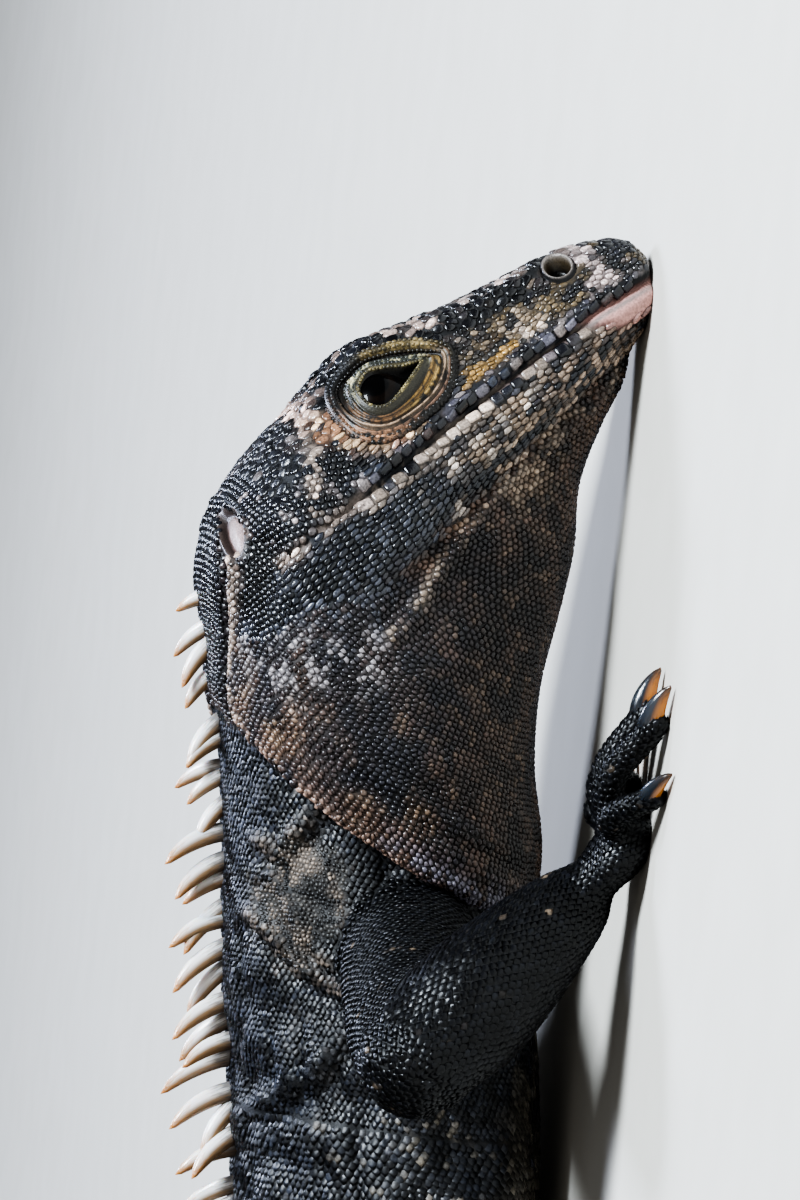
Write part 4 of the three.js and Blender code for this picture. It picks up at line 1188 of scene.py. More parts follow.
def head_way(roots, low, high):
    share = smooth(low, high, roots["root"][:, 0])[:, None]
    return unit(-FORWARD * share + roots["way"] * (1 - share))


def part_of(layer, here):
    points, faces, tint, chart = layer
    kept = np.repeat(here, len(points) // len(here))
    renumbered = np.cumsum(kept) - 1
    faces = renumbered[faces.reshape(len(here), -1, 3)[here].reshape(-1, 3)]
    return points[kept], faces, tint[kept], chart[kept]


throat = settle(roots_on(throat_grid, 0.98, 0.88), THROAT, 0.11)
throat["way"] = head_way(throat, 120, 150)
throat_layer = lay(FLAT_BEAD, throat, 0.95, 1.12, 0.95, hide_of(throat, THROAT), 0.13, fill=6, vary=0.2)
ahead = throat["root"][:, 0] > THROAT_SPLIT
for name, here in (("throat_scales_front", ahead), ("throat_scales_rear", ~ahead)):
    coat(name, [part_of(throat_layer, here)], keratin)

# %% Coat the torso, its worn patch and the belly
BELLY_TOP = 7
BELLY_LAP = 0.6  # how far the belly's scales run up under the flank's

for name, low, high, pitch in (("shoulder_scales", 84, 400, 0.98), ("flank_scales", 14, 84, 1.2),
                               ("rump_scales", -400, 14, 1.32)):
    here = roots_on(torso_grid, pitch, 0.84 * pitch)
    x, z = here["root"][:, 0], here["root"][:, 2]
    here = settle(chosen(here, (z > BELLY_TOP) & (x > low) & (x <= high)), TORSO_PART)
    here = chosen(here, patch_at(here["root"]) < 0.5)
    tint = hide_of(here, TORSO_PART)
    coat(name, [lay(SHINGLE, here, 1.02 * here["pitch"], 1.15 * pitch, 0.75 * pitch, tint, 0.1)],
         dull_keratin)

grains = roots_on(torso_grid, 0.68, 0.66)
grains = settle(chosen(grains, patch_at(grains["root"]) > 0.02), TORSO_PART, 0.16)
grains = chosen(grains, patch_at(grains["root"]) >= 0.5)
coat("patch_scales", [lay(BEAD, grains, 0.66, 0.7, 0.5, hide_of(grains, TORSO_PART), 0.16, fill=6)],
     dull_keratin)

belly = settle(roots_on(torso_grid, 1.9, 1.7), TORSO_PART)
belly = chosen(belly, belly["root"][:, 2] < BELLY_TOP + BELLY_LAP)
coat("belly_scales", [lay(BELLY_PLATE, belly, 1.0 * belly["pitch"], 2.0, 0.7, hide_of(belly, TORSO_PART))],
     plate_keratin)

# %% Coat the limbs
LIMB_PARTS = {"upper": UPPER, "lower": LOWER, "palm": PALM, "toe": TOE}

for pair, coarse in (("arm", 1.0), ("leg", 1.15)):
    layers = []
    for name, grid in limb_grids.items():
        if name.startswith(pair):
            part = LIMB_PARTS[name.split("_")[2]]
            pitch = (1.12 if part in (UPPER, LOWER) else 1.0) * coarse
            here = settle(roots_on(grid, pitch, 0.95 * pitch), part)
            tint = hide_of(here, part)
            layers.append(lay(SHINGLE, here, 1.02 * here["pitch"], 1.2 * pitch, 0.85, tint, 0.08))
    coat(pair + "_scales", layers, limb_keratin)

# %% [markdown]
# ## Head
#
# Rows of long beads follow the mouth line back over the cheek and jaw. Flat plates cover the crown and the
# snout, and a single row of large plates edges each lip. Places that a lid, a nostril rim or an eardrum will
# fill are left bare.

# %% Choose the kind of scale at each place on the head
OUTSIDE = 45  # millimetres to the side, well clear of the head


def face_point(at, up, side):
    start = Vector(in_head(at, side * OUTSIDE, up))
    place, _, face, _ = skin_tree.ray_cast(start, Vector((0, -side, 0)))
    return np.array(place), unit(skin_normals[skin_faces[face]].sum(0))


def head_zones(roots):
    at, up = head_places(roots["root"])
    mouth = mouth_height(at, up)
    bare = inside(np.stack([at, up], 1), eye_ring) & (np.abs(roots["root"][:, 1]) > 4)
    bare |= (within(at, up, NOSTRIL) < 1.3) | (within(at, up, EAR) < 1.0)
    bare |= (mouth < 1.85) & (mouth > -2.0) & (at < 55)
    bare |= (np.abs(mouth) < 0.45) & (at < 68)
    bare |= lip_flesh(roots["root"]) > 0.5
    top = roots["normal"] @ CROWN > np.interp(at, [0, 28, 36, 60], [-0.2, 0.1, 0.62, 0.75])
    plates = (top | (at < 27)) & (mouth > 1.5) & (at < 66)
    temple = (at > 53) & (mouth > 0.5) | (at > 72)
    lore = plates & (at < 34) & (up < np.interp(at, [0, 8, 30], [8.5, 9.5, 12.4]))
    zones = {"cheek": ~plates & ~temple, "temple": temple & ~plates, "plates": plates & ~lore, "lore": lore}
    return {zone: here & ~bare for zone, here in zones.items()}


def head_layer(shape, sides, wide, long, high, zone, tilt, jitter):
    roots = settle(roots_on(head_grid, wide, long), HEAD_PART, jitter)
    roots = chosen(roots, head_zones(roots)[zone])
    tint = hide_of(roots, HEAD_PART)
    return lay(shape, roots, wide, 1.2 * long, high, tint, tilt, 0.1, fill=sides, vary=0.36)


# %% Coat the head
# Each row of shields along a lip: its height over the mouth line, where it starts and how far it is set
# back.
LIP_ROWS = [(1.05, 2.2, 0), (-1.15, 11.5, 0.7)]
LIP_STEP, LIP_END = 2.15, 55

head_layers = [head_layer(FINE_BEAD, 8, 0.82, 1.5, 0.9, "cheek", 0.15, 0.14),
               head_layer(FINE_BEAD, 8, 1.05, 0.95, 1.05, "temple", 0.13, 0.08),
               head_layer(PLATE, 9, 1.45, 1.6, 1.2, "plates", 0.11, 0.26),
               head_layer(GRANULE, 8, 0.84, 1.06, 0.9, "lore", 0.16, 0.26)]
lips = {key: [] for key in ("root", "way", "normal", "pitch", "chart")}
for side in (-1, 1):
    for row, (offset, first, back) in enumerate(LIP_ROWS):
        for at in np.arange(first, LIP_END, LIP_STEP) + back:
            at += random.uniform(-0.25, 0.25)
            up = np.interp(at, *zip(*MOUTH)) + offset + random.uniform(-0.1, 0.1)
            place, normal = face_point(at, up, side)
            chart = (0.5 + 0.12 * side + 0.05 * row, at / 60)
            for key, value in zip(lips, (place, -FORWARD, normal, 2.2, chart)):
                lips[key].append(value)
lips = {key: np.array(value) for key, value in lips.items()}
head_layers.append(lay(SHIELD, lips, 1.66, 2.2, 0.8, hide_of(lips, HEAD_PART), 0.1, 0.2, vary=0.36))
coat("head_scales", head_layers, plate_keratin)

# %% Coat the tail
tail = settle(roots_on(tail_grid, 2.1, 2.3), TAIL_PART)
coat("tail_scales", [lay(SHINGLE, tail, 1.04 * tail["pitch"], 2.9, 1.1, hide_of(tail, TAIL_PART), 0.04)],
     dull_keratin)

# %% [markdown]
# ## Eyes and lids
#
# The eye is a dark ball, almost all iris and pupil, under a clear wet cornea. It sits deep, and the lids
# make an opening like a leaf, round behind and drawn to a point in front. Round it lie the folds that give
# the animal its tired look. They are a grid of rings that runs from the socket, over the lid's edge, across
# crease and fold, and under the scales of the cheek, with rows of beads along it.

# %% Lids with their folds
# Each lid's height over the face against the way across it. The lid's edge is at 0, its crease at 1 and its
# outer edge at 2, and below 0 it runs into the socket.
UPPER_LID = [(-.9, -2.0), (-.35, -1.2), (-.12, .3), (0, 1.0), (.15, 1.25), (.55, .85), (.82, -.35), (1, -.5),
             (1.25, .7), (1.6, 1.1), (2, -.2)]
LOWER_LID = [(-.9, -2.0), (-.35, -1.4), (-.12, 0), (0, .6), (.1, .8), (.3, .4), (.4, .05), (.5, .5),
             (.58, .55), (.67, .2), (.76, .65), (.84, .7), (.93, .2), (1.02, .75), (1.12, .85), (1.24, .3),
             (1.36, .55), (1.5, .2), (1.7, .4), (2, -.2)]
LID_COLUMNS = 132
UPPER_SHARE = [0.5, 1, 1, 1, 1, 0.9, 0.4, 0, 0, 0, 0]  # how much each point of the opening is upper lid
LID_STEPS = np.array([-.9, -.6, -.35, -.2, -.12, -.05, 0, .04, .08, .12, *np.arange(.16, 2.001, .04)])
opening, crease_ring, outer_ring = (loop(path, LID_COLUMNS) for path in (OPENING, LID_FOLD, LID_EDGE))
upper_share = loop(np.stack([UPPER_SHARE, UPPER_SHARE], 1), LID_COLUMNS)[:, 0].clip(0, 1)
head_tree = tree_of(*closed(head_grid))


def lid_places(t):
    if t < 0:
        return opening + (opening.mean(0) - opening) * -t
    if t < 1:
        return opening + (crease_ring - opening) * t
    return crease_ring + (outer_ring - crease_ring) * (t - 1)


def head_surface(at, up, side):
    start = Vector(in_head(at, side * OUTSIDE, up))
    hit = head_tree.ray_cast(start, Vector((0, -side, 0)))[0]
    return np.array(head_tree.find_nearest(start)[0] if hit is None else hit)


# The middle of an eye, nostril or ear on the plain head, and the way it faces.
def axis_at(spot, side, step):
    centre = head_surface(spot["at"], spot["up"], side)
    ahead = head_surface(spot["at"] - step, spot["up"], side)
    higher = head_surface(spot["at"], spot["up"] + 2, side)
    axis = unit(np.cross(ahead - centre, higher - centre))
    return centre, axis * np.sign(axis[1] * side)


def lid_rows(side):
    _, axis = axis_at(EYE, side, 3)
    rows, heights = [], []
    for t in LID_STEPS:
        flat = lid_places(t)
        base = np.array([head_surface(at, up, side) for at, up in flat])
        upper, lower = (np.interp(t, *zip(*lid)) for lid in (UPPER_LID, LOWER_LID))
        high = upper * upper_share + lower * (1 - upper_share)
        high = high * (1 - 0.35 * np.exp(-((flat[:, 0] - 34) / 3) ** 2) * (t < 0.4))
        rows.append(base + axis * high[:, None])
        heights.append(high)
    return np.array(rows), np.array(heights)


print("lids:", len(LID_STEPS), "rings of", LID_COLUMNS)

# %% Colour of the lids
def lid_tint(t, heights, flat):
    over, under = upper_share, 1 - upper_share
    fine = mottle(np.hstack([flat, np.zeros((len(flat), 1))]), 0.6, 21)
    front, rear = smooth(46, 37, flat[:, 0]), smooth(39, 47, flat[:, 0])
    edge = abs(t - .03)
    brow = over * smooth(1.0, 1.1, t) * smooth(1.7, 1.4, t) * front
    cream = under * smooth(.96, 1.02, t) * smooth(1.26, 1.18, t)
    cheek = under * smooth(1.28, 1.34, t) * smooth(1.52, 1.44, t)
    return paint(np.tile(linear("#1d1b18"), (len(flat), 1)), [
        ("#413b28", smooth(.16, .08, edge) * (0.3 + 0.6 * front + 0.3 * under)),
        ("#8f8259", smooth(.1, .05, edge) * smooth(.5, .6, fine) * (0.4 + 0.5 * under)),
        ("#2f312b", over * smooth(.1, .3, t) * smooth(.85, .7, t) * 0.9),
        ("#a39c7c", over * smooth(.2, .3, t) * smooth(.75, .6, t) * smooth(.54, .62, fine)),
        ("#2e2b22", under * smooth(.12, .2, t) * smooth(.46, .4, t)),
        ("#745a30", under * front * smooth(.42, .48, t) * smooth(.7, .64, t) * smooth(.3, .45, fine)),
        ("#957a48", under * front * smooth(.68, .74, t) * smooth(.94, .88, t) * smooth(.35, .5, fine)),
        ("#6d5138", under * rear * smooth(.42, .5, t) * smooth(.96, .86, t) * smooth(.3, .5, fine)),
        ("#51462c", brow * smooth(.2, .5, fine)),
        ("#7d6c48", brow * smooth(.5, .7, fine)),
        ("#a08770", cream * smooth(0.3, 0.5, fine)),
        ("#7b6050", cheek * smooth(0.35, 0.5, fine)),
        # Painted shade: dark lines across the lower lid stand for the shade in its creases.
        ("#14110f", under * (np.sin(t * 44) > 0.55) * smooth(.4, .5, t) * 0.75),
        ("#86644c", under * rear * smooth(1.2, 1.4, t) * smooth(0.4, 0.56, fine)),
        # Behind the eye the upper lid is dark from its crease outward, partly the dark skin there and partly
        # painted shade in the crease.
        ("#0b0b0e", over * rear * smooth(.85, 1.05, t) * 0.95),
        # Painted shade wherever the lid lies low, in its hollows and creases.
        ("#14100d", smooth(.35, 0, heights) * smooth(.3, .4, t) * 0.85),
        # Painted shade: the socket under the lid's edge is near black.
        ("#0c0a09", smooth(0.02, -.08, t))])


# %% Set in the lids and their beads
# The rows of beads on a lid: how far across it each lies, its beads' size, and whether only the upper lid
# has it.
LID_BEADS = [(0, 0.55, False), (0.04, 0.55, False), (0.24, 0.62, True), (0.48, 0.66, True),
             (0.68, 0.7, True), (1.08, 0.66, True), (1.32, 0.72, True), (1.56, 0.8, False),
             (1.84, 0.86, False)]


def facing(faces, side):
    return faces[:, ::-1] if side > 0 else faces


def bead_row(line, normals, tint, side, number, t, size, upper_only):
    walk = np.r_[0, np.cumsum(np.linalg.norm(np.roll(line, -1, axis=0) - line, axis=1))]
    spots = (np.arange(int(walk[-1] / size)) + 0.5 * (number % 2)) * size
    j = np.interp(spots, walk, np.arange(LID_COLUMNS + 1)) % LID_COLUMNS
    low = j.astype(int) % LID_COLUMNS
    high, part = (low + 1) % LID_COLUMNS, (j - j.astype(int))[:, None]
    bead = dict(root=line[low] * (1 - part) + line[high] * part, way=unit(line[high] - line[low]),
                normal=normals[low], tint=tint[low],
                chart=np.stack([np.full(len(j), 0.3 + 0.2 * side + 0.1 * t), j / LID_COLUMNS], 1))
    if upper_only:
        bead = chosen(bead, upper_share[low] > 0.6)
    return lay(BEAD, bead, size, 1.15 * size, 0.55, bead["tint"] * 1.15, 0.14, 0.22)


lid_beads = []
for side, label in ((-1, "right"), (1, "left")):
    rows, heights = lid_rows(side)
    points = rows.reshape(-1, 3)
    tint = np.vstack([lid_tint(t, high, lid_places(t)) for t, high in zip(LID_STEPS, heights)])
    quads = facing(ring_quads(len(rows), LID_COLUMNS), side)
    lid = make_mesh("lids_" + label, points, quads, lid_skin, tint)
    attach(lid, "root")
    normals, tint = point_normals(points, halved(quads)).reshape(rows.shape), tint.reshape(rows.shape)
    for number, (t, size, upper_only) in enumerate(LID_BEADS):
        row = int(np.abs(LID_STEPS - t).argmin())
        lid_beads.append(bead_row(rows[row], normals[row], tint[row], side, number, t, size, upper_only))
coat("lid_beads", lid_beads, lid_skin)

# %% Eyeballs
BALL = 6.0
BALL_SINK = 5.2  # how deep the ball's middle lies under the face
wet_eye, eye_tree, eye_shader = new_material("Wet eye under its cornea", Roughness=0.3, IOR=1.1,
                                             Coat_Weight=0.35, Coat_Roughness=0.02, Coat_IOR=1.36)
eye_marks = add(eye_tree, "ShaderNodeAttribute", {"attribute_name": "Hide"})
eye_tree.links.new(eye_marks.outputs["Color"], eye_shader.inputs["Base Color"])


def ball(centre, axis, radius, rings=56, around=64):
    frame_x = unit(np.cross(axis, UP))
    frame_y = np.cross(axis, frame_x)
    angle = (np.arange(rings) / (rings - 1) * np.pi)[:, None, None]
    turn = (np.arange(around) / around * 2 * np.pi)[None, :, None]
    ring = np.cos(turn) * frame_x + np.sin(turn) * frame_y
    return centre + radius * (np.cos(angle) * axis + np.sin(angle) * ring)


def iris_tint(away, points):
    streak = mottle(points, 0.5, 31)
    return paint(np.tile(linear("#050405"), (len(away), 1)), [
        ("#17100c", smooth(2.2, 2.4, away) * (0.35 + 0.65 * streak)),
        ("#0c0a0b", smooth(3.1, 3.4, away)),
        ("#141110", smooth(3.6, 4.4, away))])


# %% Nostrils and eardrums
# Height over the face against the way out from the middle, and the colours on the same way.
NOSTRIL_RIM = [(0.05, -2.5), (.5, -2.2), (.76, -.5), (.86, .4), (.94, .6), (1.02, .45), (1.14, -.1),
               (1.3, -.35)]
# The hole of the nostril and the groove round its rim are painted near black, as painted shade.
NOSTRIL_TONES = [(0, "#060504"), (.55, "#0f0c08"), (.78, "#332a1c"), (.88, "#726b65"), (.97, "#67605b"),
                 (1.02, "#0e0d0e"), (1.3, "#0e0d0e")]
EAR_RIM = [(0.05, -.75), (.6, -.95), (.85, -1.15), (.95, -.3), (1.06, .2), (1.2, .2), (1.45, -.35)]
# The dark ring at the bottom of the groove round the eardrum is painted shade.
EAR_TONES = [(0, "#86716c"), (.6, "#74605a"), (.85, "#241b19"), (1.0, "#3e3531"), (1.45, "#131113")]


def rosette(name, side, hole, profile, tones, columns=44):
    _, axis = axis_at(hole, side, 2)
    turn = np.arange(columns) / columns * 2 * np.pi
    cos, sin = math.cos(hole["turn"]), math.sin(hole["turn"])
    marks, paints = [t for t, _ in tones], np.array([linear(code) for _, code in tones])
    rows, tint = [], []
    for t in np.linspace(profile[0][0], profile[-1][0], 26):
        along, over = t * hole["long"] * np.cos(turn), t * hole["tall"] * np.sin(turn)
        flat = np.stack([hole["at"] + along * cos - over * sin, hole["up"] + along * sin + over * cos], 1)
        base = np.array([head_surface(at, up, side) for at, up in flat])
        rows.append(base + axis * np.interp(t, *zip(*profile)))
        tint.append([[np.interp(t, marks, paints[:, k]) for k in range(3)]] * columns)
    rows, tint = np.array(rows), np.array(tint).reshape(-1, 3)
    points = np.vstack([rows.reshape(-1, 3), rows[0].mean(0)])
    tint = np.vstack([tint, tint[0]]) * (0.75 + 0.5 * mottle(points, 0.7, 41))[:, None]
    j = np.arange(columns)
    middle = np.stack([np.full(columns, len(points) - 1), (j + 1) % columns, j], 1)
    faces = np.vstack([halved(facing(ring_quads(len(rows), columns), side)), facing(middle, side)])
    piece = make_mesh(name, points, faces, lid_skin, tint)
    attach(piece, "root")
    return piece


# %% Set in the eyes, nostrils and eardrums
for side, label in ((-1, "right"), (1, "left")):
    centre, axis = axis_at(EYE, side, 3)
    points, faces = closed(ball(centre - axis * BALL_SINK, axis, BALL))
    away = np.linalg.norm(points - (centre + axis * (BALL - BALL_SINK)), axis=1)
    eye = make_mesh("eyeball_" + label, points, faces, wet_eye, iris_tint(away, points))
    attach(eye, "root")
    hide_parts("eye_" + label)
    rosette("nostril_" + label, side, NOSTRIL, NOSTRIL_RIM, NOSTRIL_TONES)
    drum = rosette("eardrum_" + label, side, EAR, EAR_RIM, EAR_TONES)
    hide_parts("ear_" + label)
    print(label, "eye looks along", axis.round(2))

# %% [markdown]
# ## Spines and claws
#
# The crest, the whorls of the tail and the claws are one form at three sizes: a horn that curves back, flat
# from side to side, with a blunt point. One tree of Geometry Nodes grows it on points that carry their own
# turn, size and colour, and leaves the height along the horn on each vertex, which the material reads to go
# from pale root to amber tip.

# %% One Geometry Nodes tree for every horn
def horn_tree():
    tree = bpy.data.node_groups.new("horns on points", "GeometryNodeTree")
    sockets = tree.interface
    sockets.new_socket("Geometry", in_out="OUTPUT", socket_type="NodeSocketGeometry")
    sockets.new_socket("Geometry", in_out="INPUT", socket_type="NodeSocketGeometry")
    for title, kind, value in (("Sides", "Int", 8), ("Rings", "Int", 6), ("Bend", "Float", 0.34),
                               ("Point", "Float", 1.6)):
        socket = sockets.new_socket(title, in_out="INPUT", socket_type="NodeSocket" + kind)
        socket.default_value = value
    sockets.new_socket("Material", in_out="INPUT", socket_type="NodeSocketMaterial")
    given = add(tree, "NodeGroupInput").outputs

    def figure(operation, a, b):
        return add(tree, "ShaderNodeMath", {"operation": operation}, _0=a, _1=b).outputs[0]

    def read(title):
        kind = {"data_type": "FLOAT_VECTOR"}
        return add(tree, "GeometryNodeInputNamedAttribute", kind, Name=title).outputs[0]

    # One horn of height 1: a cone, swelled so that its sides are round and its point is blunt.
    cone = add(tree, "GeometryNodeMeshCone", {"fill_type": "TRIANGLE_FAN"}, Vertices=given["Sides"],
               Side_Segments=given["Rings"], Radius_Top=0.02, Radius_Bottom=1.0, Depth=1.0)
    position = add(tree, "GeometryNodeInputPosition").outputs["Position"]
    place = add(tree, "ShaderNodeSeparateXYZ", Vector=position)
    rise = place.outputs["Z"]
    left = figure("MAXIMUM", figure("SUBTRACT", 1.0, rise), 0.03)
    full = figure("POWER", figure("SUBTRACT", 1.0, figure("POWER", rise, given["Point"])), 0.75)
    swell = figure("DIVIDE", full, left)
    bent = figure("MULTIPLY", figure("MULTIPLY", rise, rise), given["Bend"])
    drop = figure("SUBTRACT", rise, figure("MULTIPLY", figure("MULTIPLY", bent, rise), 0.25))
    x = figure("MULTIPLY", place.outputs["X"], swell)
    y = figure("MULTIPLY", place.outputs["Y"], swell)
    shaped = add(tree, "ShaderNodeCombineXYZ", X=x, Y=y, Z=drop)
    straight = add(tree, "ShaderNodeCombineXYZ", X=x, Y=y, Z=rise)
    kept = add(tree, "GeometryNodeStoreNamedAttribute", {"data_type": "FLOAT_VECTOR", "domain": "POINT"},
               Geometry=cone.outputs["Mesh"], Name="horn", Value=straight.outputs[0])
    moved = add(tree, "GeometryNodeSetPosition", Geometry=kept.outputs[0], Position=shaped.outputs[0])

    # The horns on their points, curled back by the square of their height.
    turn, size, lean = read("turn"), read("size"), read("lean")
    rotation = add(tree, "FunctionNodeEulerToRotation", Euler=turn)
    grown = add(tree, "GeometryNodeInstanceOnPoints", Points=given["Geometry"], Instance=moved.outputs[0],
                Rotation=rotation.outputs[0], Scale=size)
    real = add(tree, "GeometryNodeRealizeInstances", Geometry=grown.outputs[0])
    ruled = read("horn")
    height = add(tree, "ShaderNodeSeparateXYZ", Vector=ruled).outputs["Z"]
    square = figure("MULTIPLY", figure("MULTIPLY", height, height), given["Bend"])
    curl = add(tree, "ShaderNodeVectorMath", {"operation": "SCALE"}, _0=lean, Scale=square)
    curled = add(tree, "GeometryNodeSetPosition", Geometry=real.outputs[0], Offset=curl.outputs[0])

    # The map named OFBake, a smooth surface and the material.
    local = add(tree, "ShaderNodeVectorMath", {"operation": "MULTIPLY_ADD"}, _0=ruled,
                _1=(BAKE_PATCH / 2, BAKE_PATCH / 2, 0.0), _2=read("chart"))
    baked = add(tree, "GeometryNodeStoreNamedAttribute", {"data_type": "FLOAT2", "domain": "CORNER"},
                Geometry=curled.outputs[0], Name="OFBake", Value=local.outputs[0])
    rounded = add(tree, "GeometryNodeSetShadeSmooth", Geometry=baked.outputs[0])
    dressed = add(tree, "GeometryNodeSetMaterial", Geometry=rounded.outputs[0], Material=given["Material"])
    add(tree, "NodeGroupOutput", Geometry=dressed.outputs[0])
    return tree


HORNS = horn_tree()
print("nodes in the tree of horns:", len(HORNS.nodes))

# %% Grow horns on points
def grow_horns(name, roots, material, sides, rings, bend, point):
    out = unit(roots["out"])
    back = flattened(roots["back"], out)
    cross = np.cross(back, out)
    turn = np.stack([np.arctan2(back[:, 2], out[:, 2]), np.arcsin(np.clip(-cross[:, 2], -1, 1)),
                     np.arctan2(cross[:, 1], cross[:, 0])], 1)
    size = roots["size"]
    chart = np.hstack([roots["chart"], np.zeros((len(out), 1))])
    mesh = bpy.data.meshes.new(name)
    mesh.vertices.add(len(out))
    mesh.vertices.foreach_set("co", (roots["root"] * MM).astype(np.float32).ravel())
    for title, values in (("turn", turn), ("size", size * MM), ("lean", back * size[:, 2:] * MM),
                          ("chart", chart), ("Hide", roots["tint"])):
        layer = mesh.attributes.new(title, "FLOAT_VECTOR", "POINT")
        layer.data.foreach_set("vector", values.astype(np.float32).ravel())
    piece = bpy.data.objects.new(name, mesh)
    bpy.context.scene.collection.objects.link(piece)
    grower = piece.modifiers.new("horns", "NODES")
    grower.node_group = HORNS
    inputs = {item.name: item.identifier for item in HORNS.interface.items_tree if item.in_out == "INPUT"}
    for title, value in (("Sides", sides), ("Rings", rings), ("Bend", bend), ("Point", point),
                         ("Material", material)):
        grower[inputs[title]] = value
    graph = bpy.context.evaluated_depsgraph_get()
    grown = bpy.data.meshes.new_from_object(piece.evaluated_get(graph), preserve_all_data_layers=True,
                                            depsgraph=graph)
    piece.modifiers.clear()
    piece.data = grown
    if not grown.materials:
        grown.materials.append(material)
    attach(piece, "root")
    print(f"{name}: {len(out)} horns, {len(grown.polygons)} faces")


# %% Horn materials
def horn_material(name, top, under, tip, rough, glow):
    material, tree, shader = new_material(name, Roughness=rough, IOR=1.55, Subsurface_Weight=glow,
                                          Subsurface_Scale=0.0012, Subsurface_Radius=(1.0, 0.5, 0.25))

    def between(share, first, second):
        mixed = add(tree, "ShaderNodeMix", {"data_type": "RGBA"}, Factor=share, _6=first, _7=second)
        return mixed.outputs[2]

    horn = add(tree, "ShaderNodeAttribute", {"attribute_name": "horn"}).outputs["Vector"]
    place = add(tree, "ShaderNodeSeparateXYZ", Vector=horn)
    root = add(tree, "ShaderNodeAttribute", {"attribute_name": "Hide"}).outputs["Color"]
    rings = add(tree, "ShaderNodeTexNoise", Vector=horn, Scale=7.0, Detail=3.0).outputs["Fac"]
    below = add(tree, "ShaderNodeMapRange", Value=place.outputs["Y"], _1=-0.25, _2=0.3).outputs[0]
    height = add(tree, "ShaderNodeMath", {"operation": "MULTIPLY_ADD"}, _0=rings, _1=0.5,
                 _2=place.outputs["Z"]).outputs[0]
    far = add(tree, "ShaderNodeMapRange", Value=height, _1=0.85, _2=1.25).outputs[0]
    near = add(tree, "ShaderNodeMapRange", Value=height, _1=0.38, _2=0.62, _3=0.85, _4=0.0).outputs[0]
    tipped = between(far, between(below, colour4(top), colour4(under)), colour4(tip))
    tree.links.new(between(near, tipped, root), shader.inputs["Base Color"])
    bump = add(tree, "ShaderNodeBump", Height=rings, Strength=0.3, Distance=0.0001)
    tree.links.new(bump.outputs["Normal"], shader.inputs["Normal"])
    return material


# Pale horn of the crest: milky and lit from within, cream in front and amber behind and at the tip.
crest_horn = horn_material("Pale crest horn", "#dad8d6", "#8f7458", "#a8743f", 0.26, 0.3)
# Dark, dense horn of the tail: hardly any light enters it.
tail_horn = horn_material("Dark tail horn", "#35332f", "#22201e", "#4c4638", 0.42, 0.05)
# Claw horn: slate along the ridge, clear amber along the underside.
claw_horn = horn_material("Claw horn", "#2c3138", "#b0702c", "#3a3029", 0.2, 0.3)
print("horn materials:", crest_horn.name, tail_horn.name, claw_horn.name)

# %% Grow the crest
# The height of the crest's spines along the back, then the runs of spines with a gap between each two.
CREST = [(168, 2.6), (158, 5.2), (145, 7.4), (118, 8.2), (95, 9.4), (60, 9.4), (0, 8), (-60, 6), (-100, 4.4),
         (-124, 3)]
CREST_RUNS = [(169.5, 148.3), (141.8, 63.1), (58.1, -56.9), (-61.9, -118)]
CREST_STEP = 3.4
CREST_SUNK = 2.2  # how deep each spine stands in the back


def back_height(x):
    torso = np.where(x < 158, section_at(TORSO, x)[:, 1], -9)
    return np.maximum(torso, np.where(x > 118, section_at(LOBE, x)[:, 1], -9))


x = np.concatenate([np.linspace(start, end, int(round((start - end) / CREST_STEP)) + 1)
                    for start, end in CREST_RUNS])
slope = (back_height(x - 1) - back_height(x + 1)) / -2
count = len(x)
sway = random.uniform(-1, 1, (count, 3))
height = np.interp(x, *zip(*CREST[::-1])) * (1 + 0.26 * sway[:, 0])
crest = dict(
    root=np.stack([x + 1.3 * sway[::-1, 0], 0.5 * sway[:, 1], back_height(x) - CREST_SUNK], 1),
    out=np.stack([-slope - 0.3 + 0.42 * sway[:, 2], 0.24 * sway[:, 1], np.ones(count)], 1),
    back=np.stack([-np.ones(count), 0.3 * sway[:, 1], -slope], 1),
    size=np.stack([0.86 + 0.16 * sway[::-1, 1], 1.0 + 0.05 * height, height + CREST_SUNK], 1),
    chart=np.stack([0.02 + 0.96 * (x + 130) / 310, np.full(count, 0.04)], 1),
    tint=np.tile(linear("#55514e"), (count, 1)))
grow_horns("crest_spines", crest, crest_horn, 12, 9, 0.34, 3.6)

# %% Grow the whorls of the tail
WHORLS_FROM, WHORLS_TO = 36.0, 480
roots = {key: [] for key in ("root", "out", "back", "size", "chart", "tint")}
at = WHORLS_FROM
while at < WHORLS_TO:
    half, top = (np.interp(at, [row[0] for row in TAIL], [row[k] for row in TAIL]) for k in (3, 1))
    step = 12.5 + 0.42 * half
    count = 9 if half > 8 else 7
    wide = 0.8 * math.pi * half / count
    middle = on_tail(at, 0, top * 0.5)
    behind = unit(on_tail(at + 4, 0, top * 0.5) - middle)
    for number in range(count):
        angle = math.radians(-14 + 208 * number / (count - 1))
        skin_at = on_tail(at, half * math.cos(angle), top * 0.5 + top * 0.5 * math.sin(angle))
        away = unit(skin_at - middle)
        roots["root"].append(skin_at - away * 0.14 * half - behind * 0.2 * step)
        roots["out"].append(behind + away * 0.42)
        roots["back"].append(-away)
        roots["size"].append([wide * 0.62, wide * 0.5, 0.62 * step * random.uniform(0.88, 1.1)])
        roots["chart"].append([0.02 + 0.96 * at / TAIL_LENGTH, 0.25 + 0.5 * number / count])
        roots["tint"].append(markings(skin_at[None], np.array([TAIL_PART]))[0])
    at += step
tail_roots = {key: np.array(value) for key, value in roots.items()}
grow_horns("tail_spines", tail_roots, tail_horn, 7, 4, 0.18, 1.8)

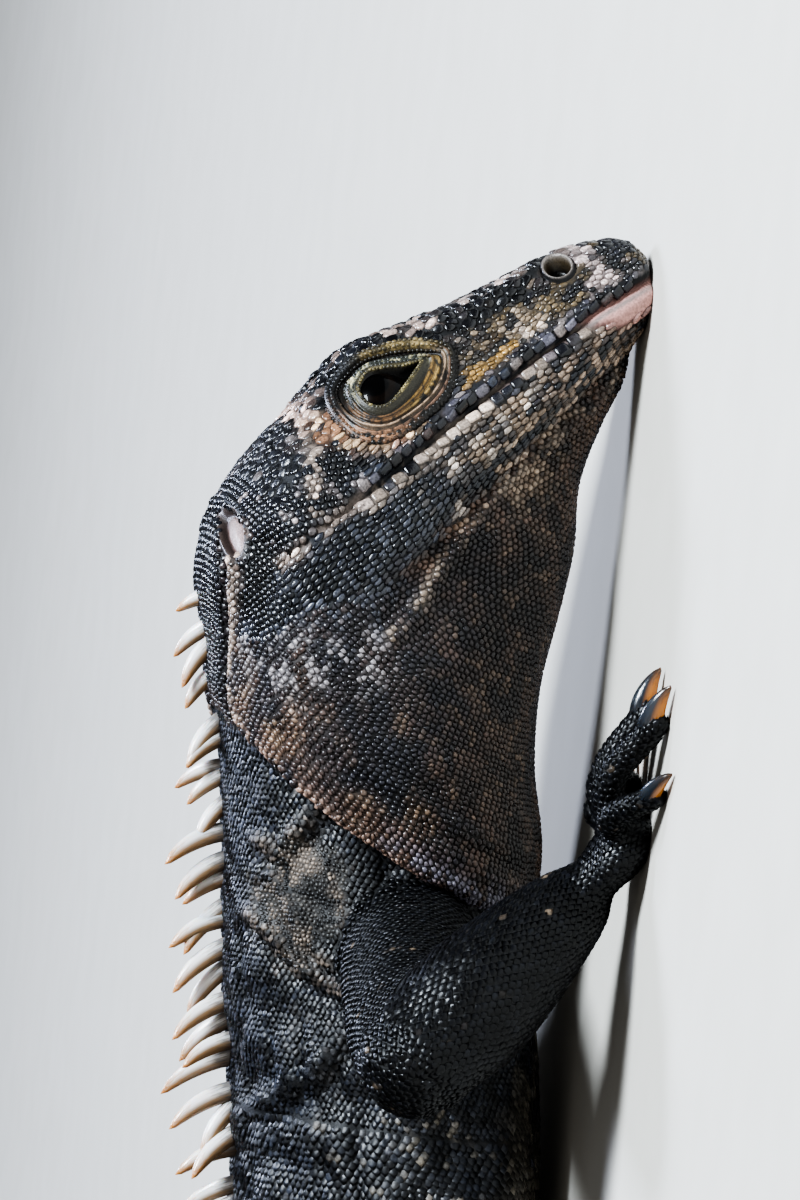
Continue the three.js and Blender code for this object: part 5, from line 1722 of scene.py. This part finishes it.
# %% Grow the claws
point, way, thick = (np.array(v) for v in zip(*claw_roots))
claws = dict(root=point, out=way, back=np.tile([0.0, 0.0, -1.0], (len(point), 1)),
             size=np.stack([0.5 * thick, 0.72 * thick, np.full(len(point), 8.0)], 1),
             chart=np.stack([np.arange(len(point)) / 20 + 0.02, np.full(len(point), 0.9)], 1),
             tint=np.tile(linear("#1a1a1c"), (len(point), 1)))
grow_horns("claws", claws, claw_horn, 14, 12, 0.34, 1.9)

# %% [markdown]
# ## Floor and light
#
# A pale, plain studio floor runs on far behind the animal, so the camera sees nothing else. The first lamp
# stands ahead of the animal and above it, on the camera's side, as the sky does in the picture, and puts a
# small cool glint on each scale. A second, cooler still, draws the rim of the far side. A weak, warm one
# fills from behind the camera.

# %% Lay the floor
REACH = 7000
corners = np.array([[-1, -1, 0], [1, -1, 0], [1, 1, 0], [-1, 1, 0]]) * float(REACH)
# Pale plaster: matt, with a faint unevenness of tone.
floor_material, floor_tree, floor_shader = new_material("Pale plaster floor", Roughness=0.75)
floor_place = add(floor_tree, "ShaderNodeTexCoord").outputs["Object"]
floor_grain = add(floor_tree, "ShaderNodeTexNoise", Vector=floor_place, Scale=60.0, Detail=4.0)
floor_tone = add(floor_tree, "ShaderNodeMix", {"data_type": "RGBA"}, Factor=floor_grain.outputs["Fac"],
                 _6=colour4("#b9b6ae"), _7=colour4("#c4c1ba"))
floor_tree.links.new(floor_tone.outputs[2], floor_shader.inputs["Base Color"])
floor = make_mesh("floor", corners, np.array([[0, 1, 2, 3]]), floor_material)
print("floor", 2 * REACH * MM, "metres wide")

# %% Set the lamps
WORLD_TONE, WORLD_STRENGTH = (0.93, 0.96, 1.0, 1), 0.16


def lamp(name, place, aim, watts, size, tone):
    light = bpy.data.lights.new(name, "AREA")
    light.energy = watts
    light.size = size
    light.color = tone
    holder = bpy.data.objects.new(name, light)
    holder.location = place
    holder.rotation_euler = (Vector(aim) - Vector(place)).to_track_quat("-Z", "Y").to_euler()
    bpy.context.scene.collection.objects.link(holder)


# Each lamp: its place and aim in metres, its watts, its width in metres and its tone.
lamp("sky", (0.7, -0.55, 1.05), (0.14, 0, 0.03), 44, 0.4, (0.84, 0.92, 1.0))
lamp("rim", (0.35, 0.75, 1.0), (0.14, 0, 0.05), 16, 0.3, (0.72, 0.8, 1.0))
lamp("fill", (-0.3, -1.3, 0.7), (0.12, 0, 0.03), 4, 1.2, (1.0, 0.95, 0.88))
world = bpy.data.worlds.new("studio")
world.use_nodes = True
background = world.node_tree.nodes["Background"]
background.inputs["Color"].default_value = WORLD_TONE
background.inputs["Strength"].default_value = WORLD_STRENGTH
bpy.context.scene.world = world
bpy.context.scene.view_settings.look = "AgX - High Contrast"
print("lamps:", [light.name for light in bpy.data.lights])

# %% Update the scene and finish
bpy.context.view_layer.update()
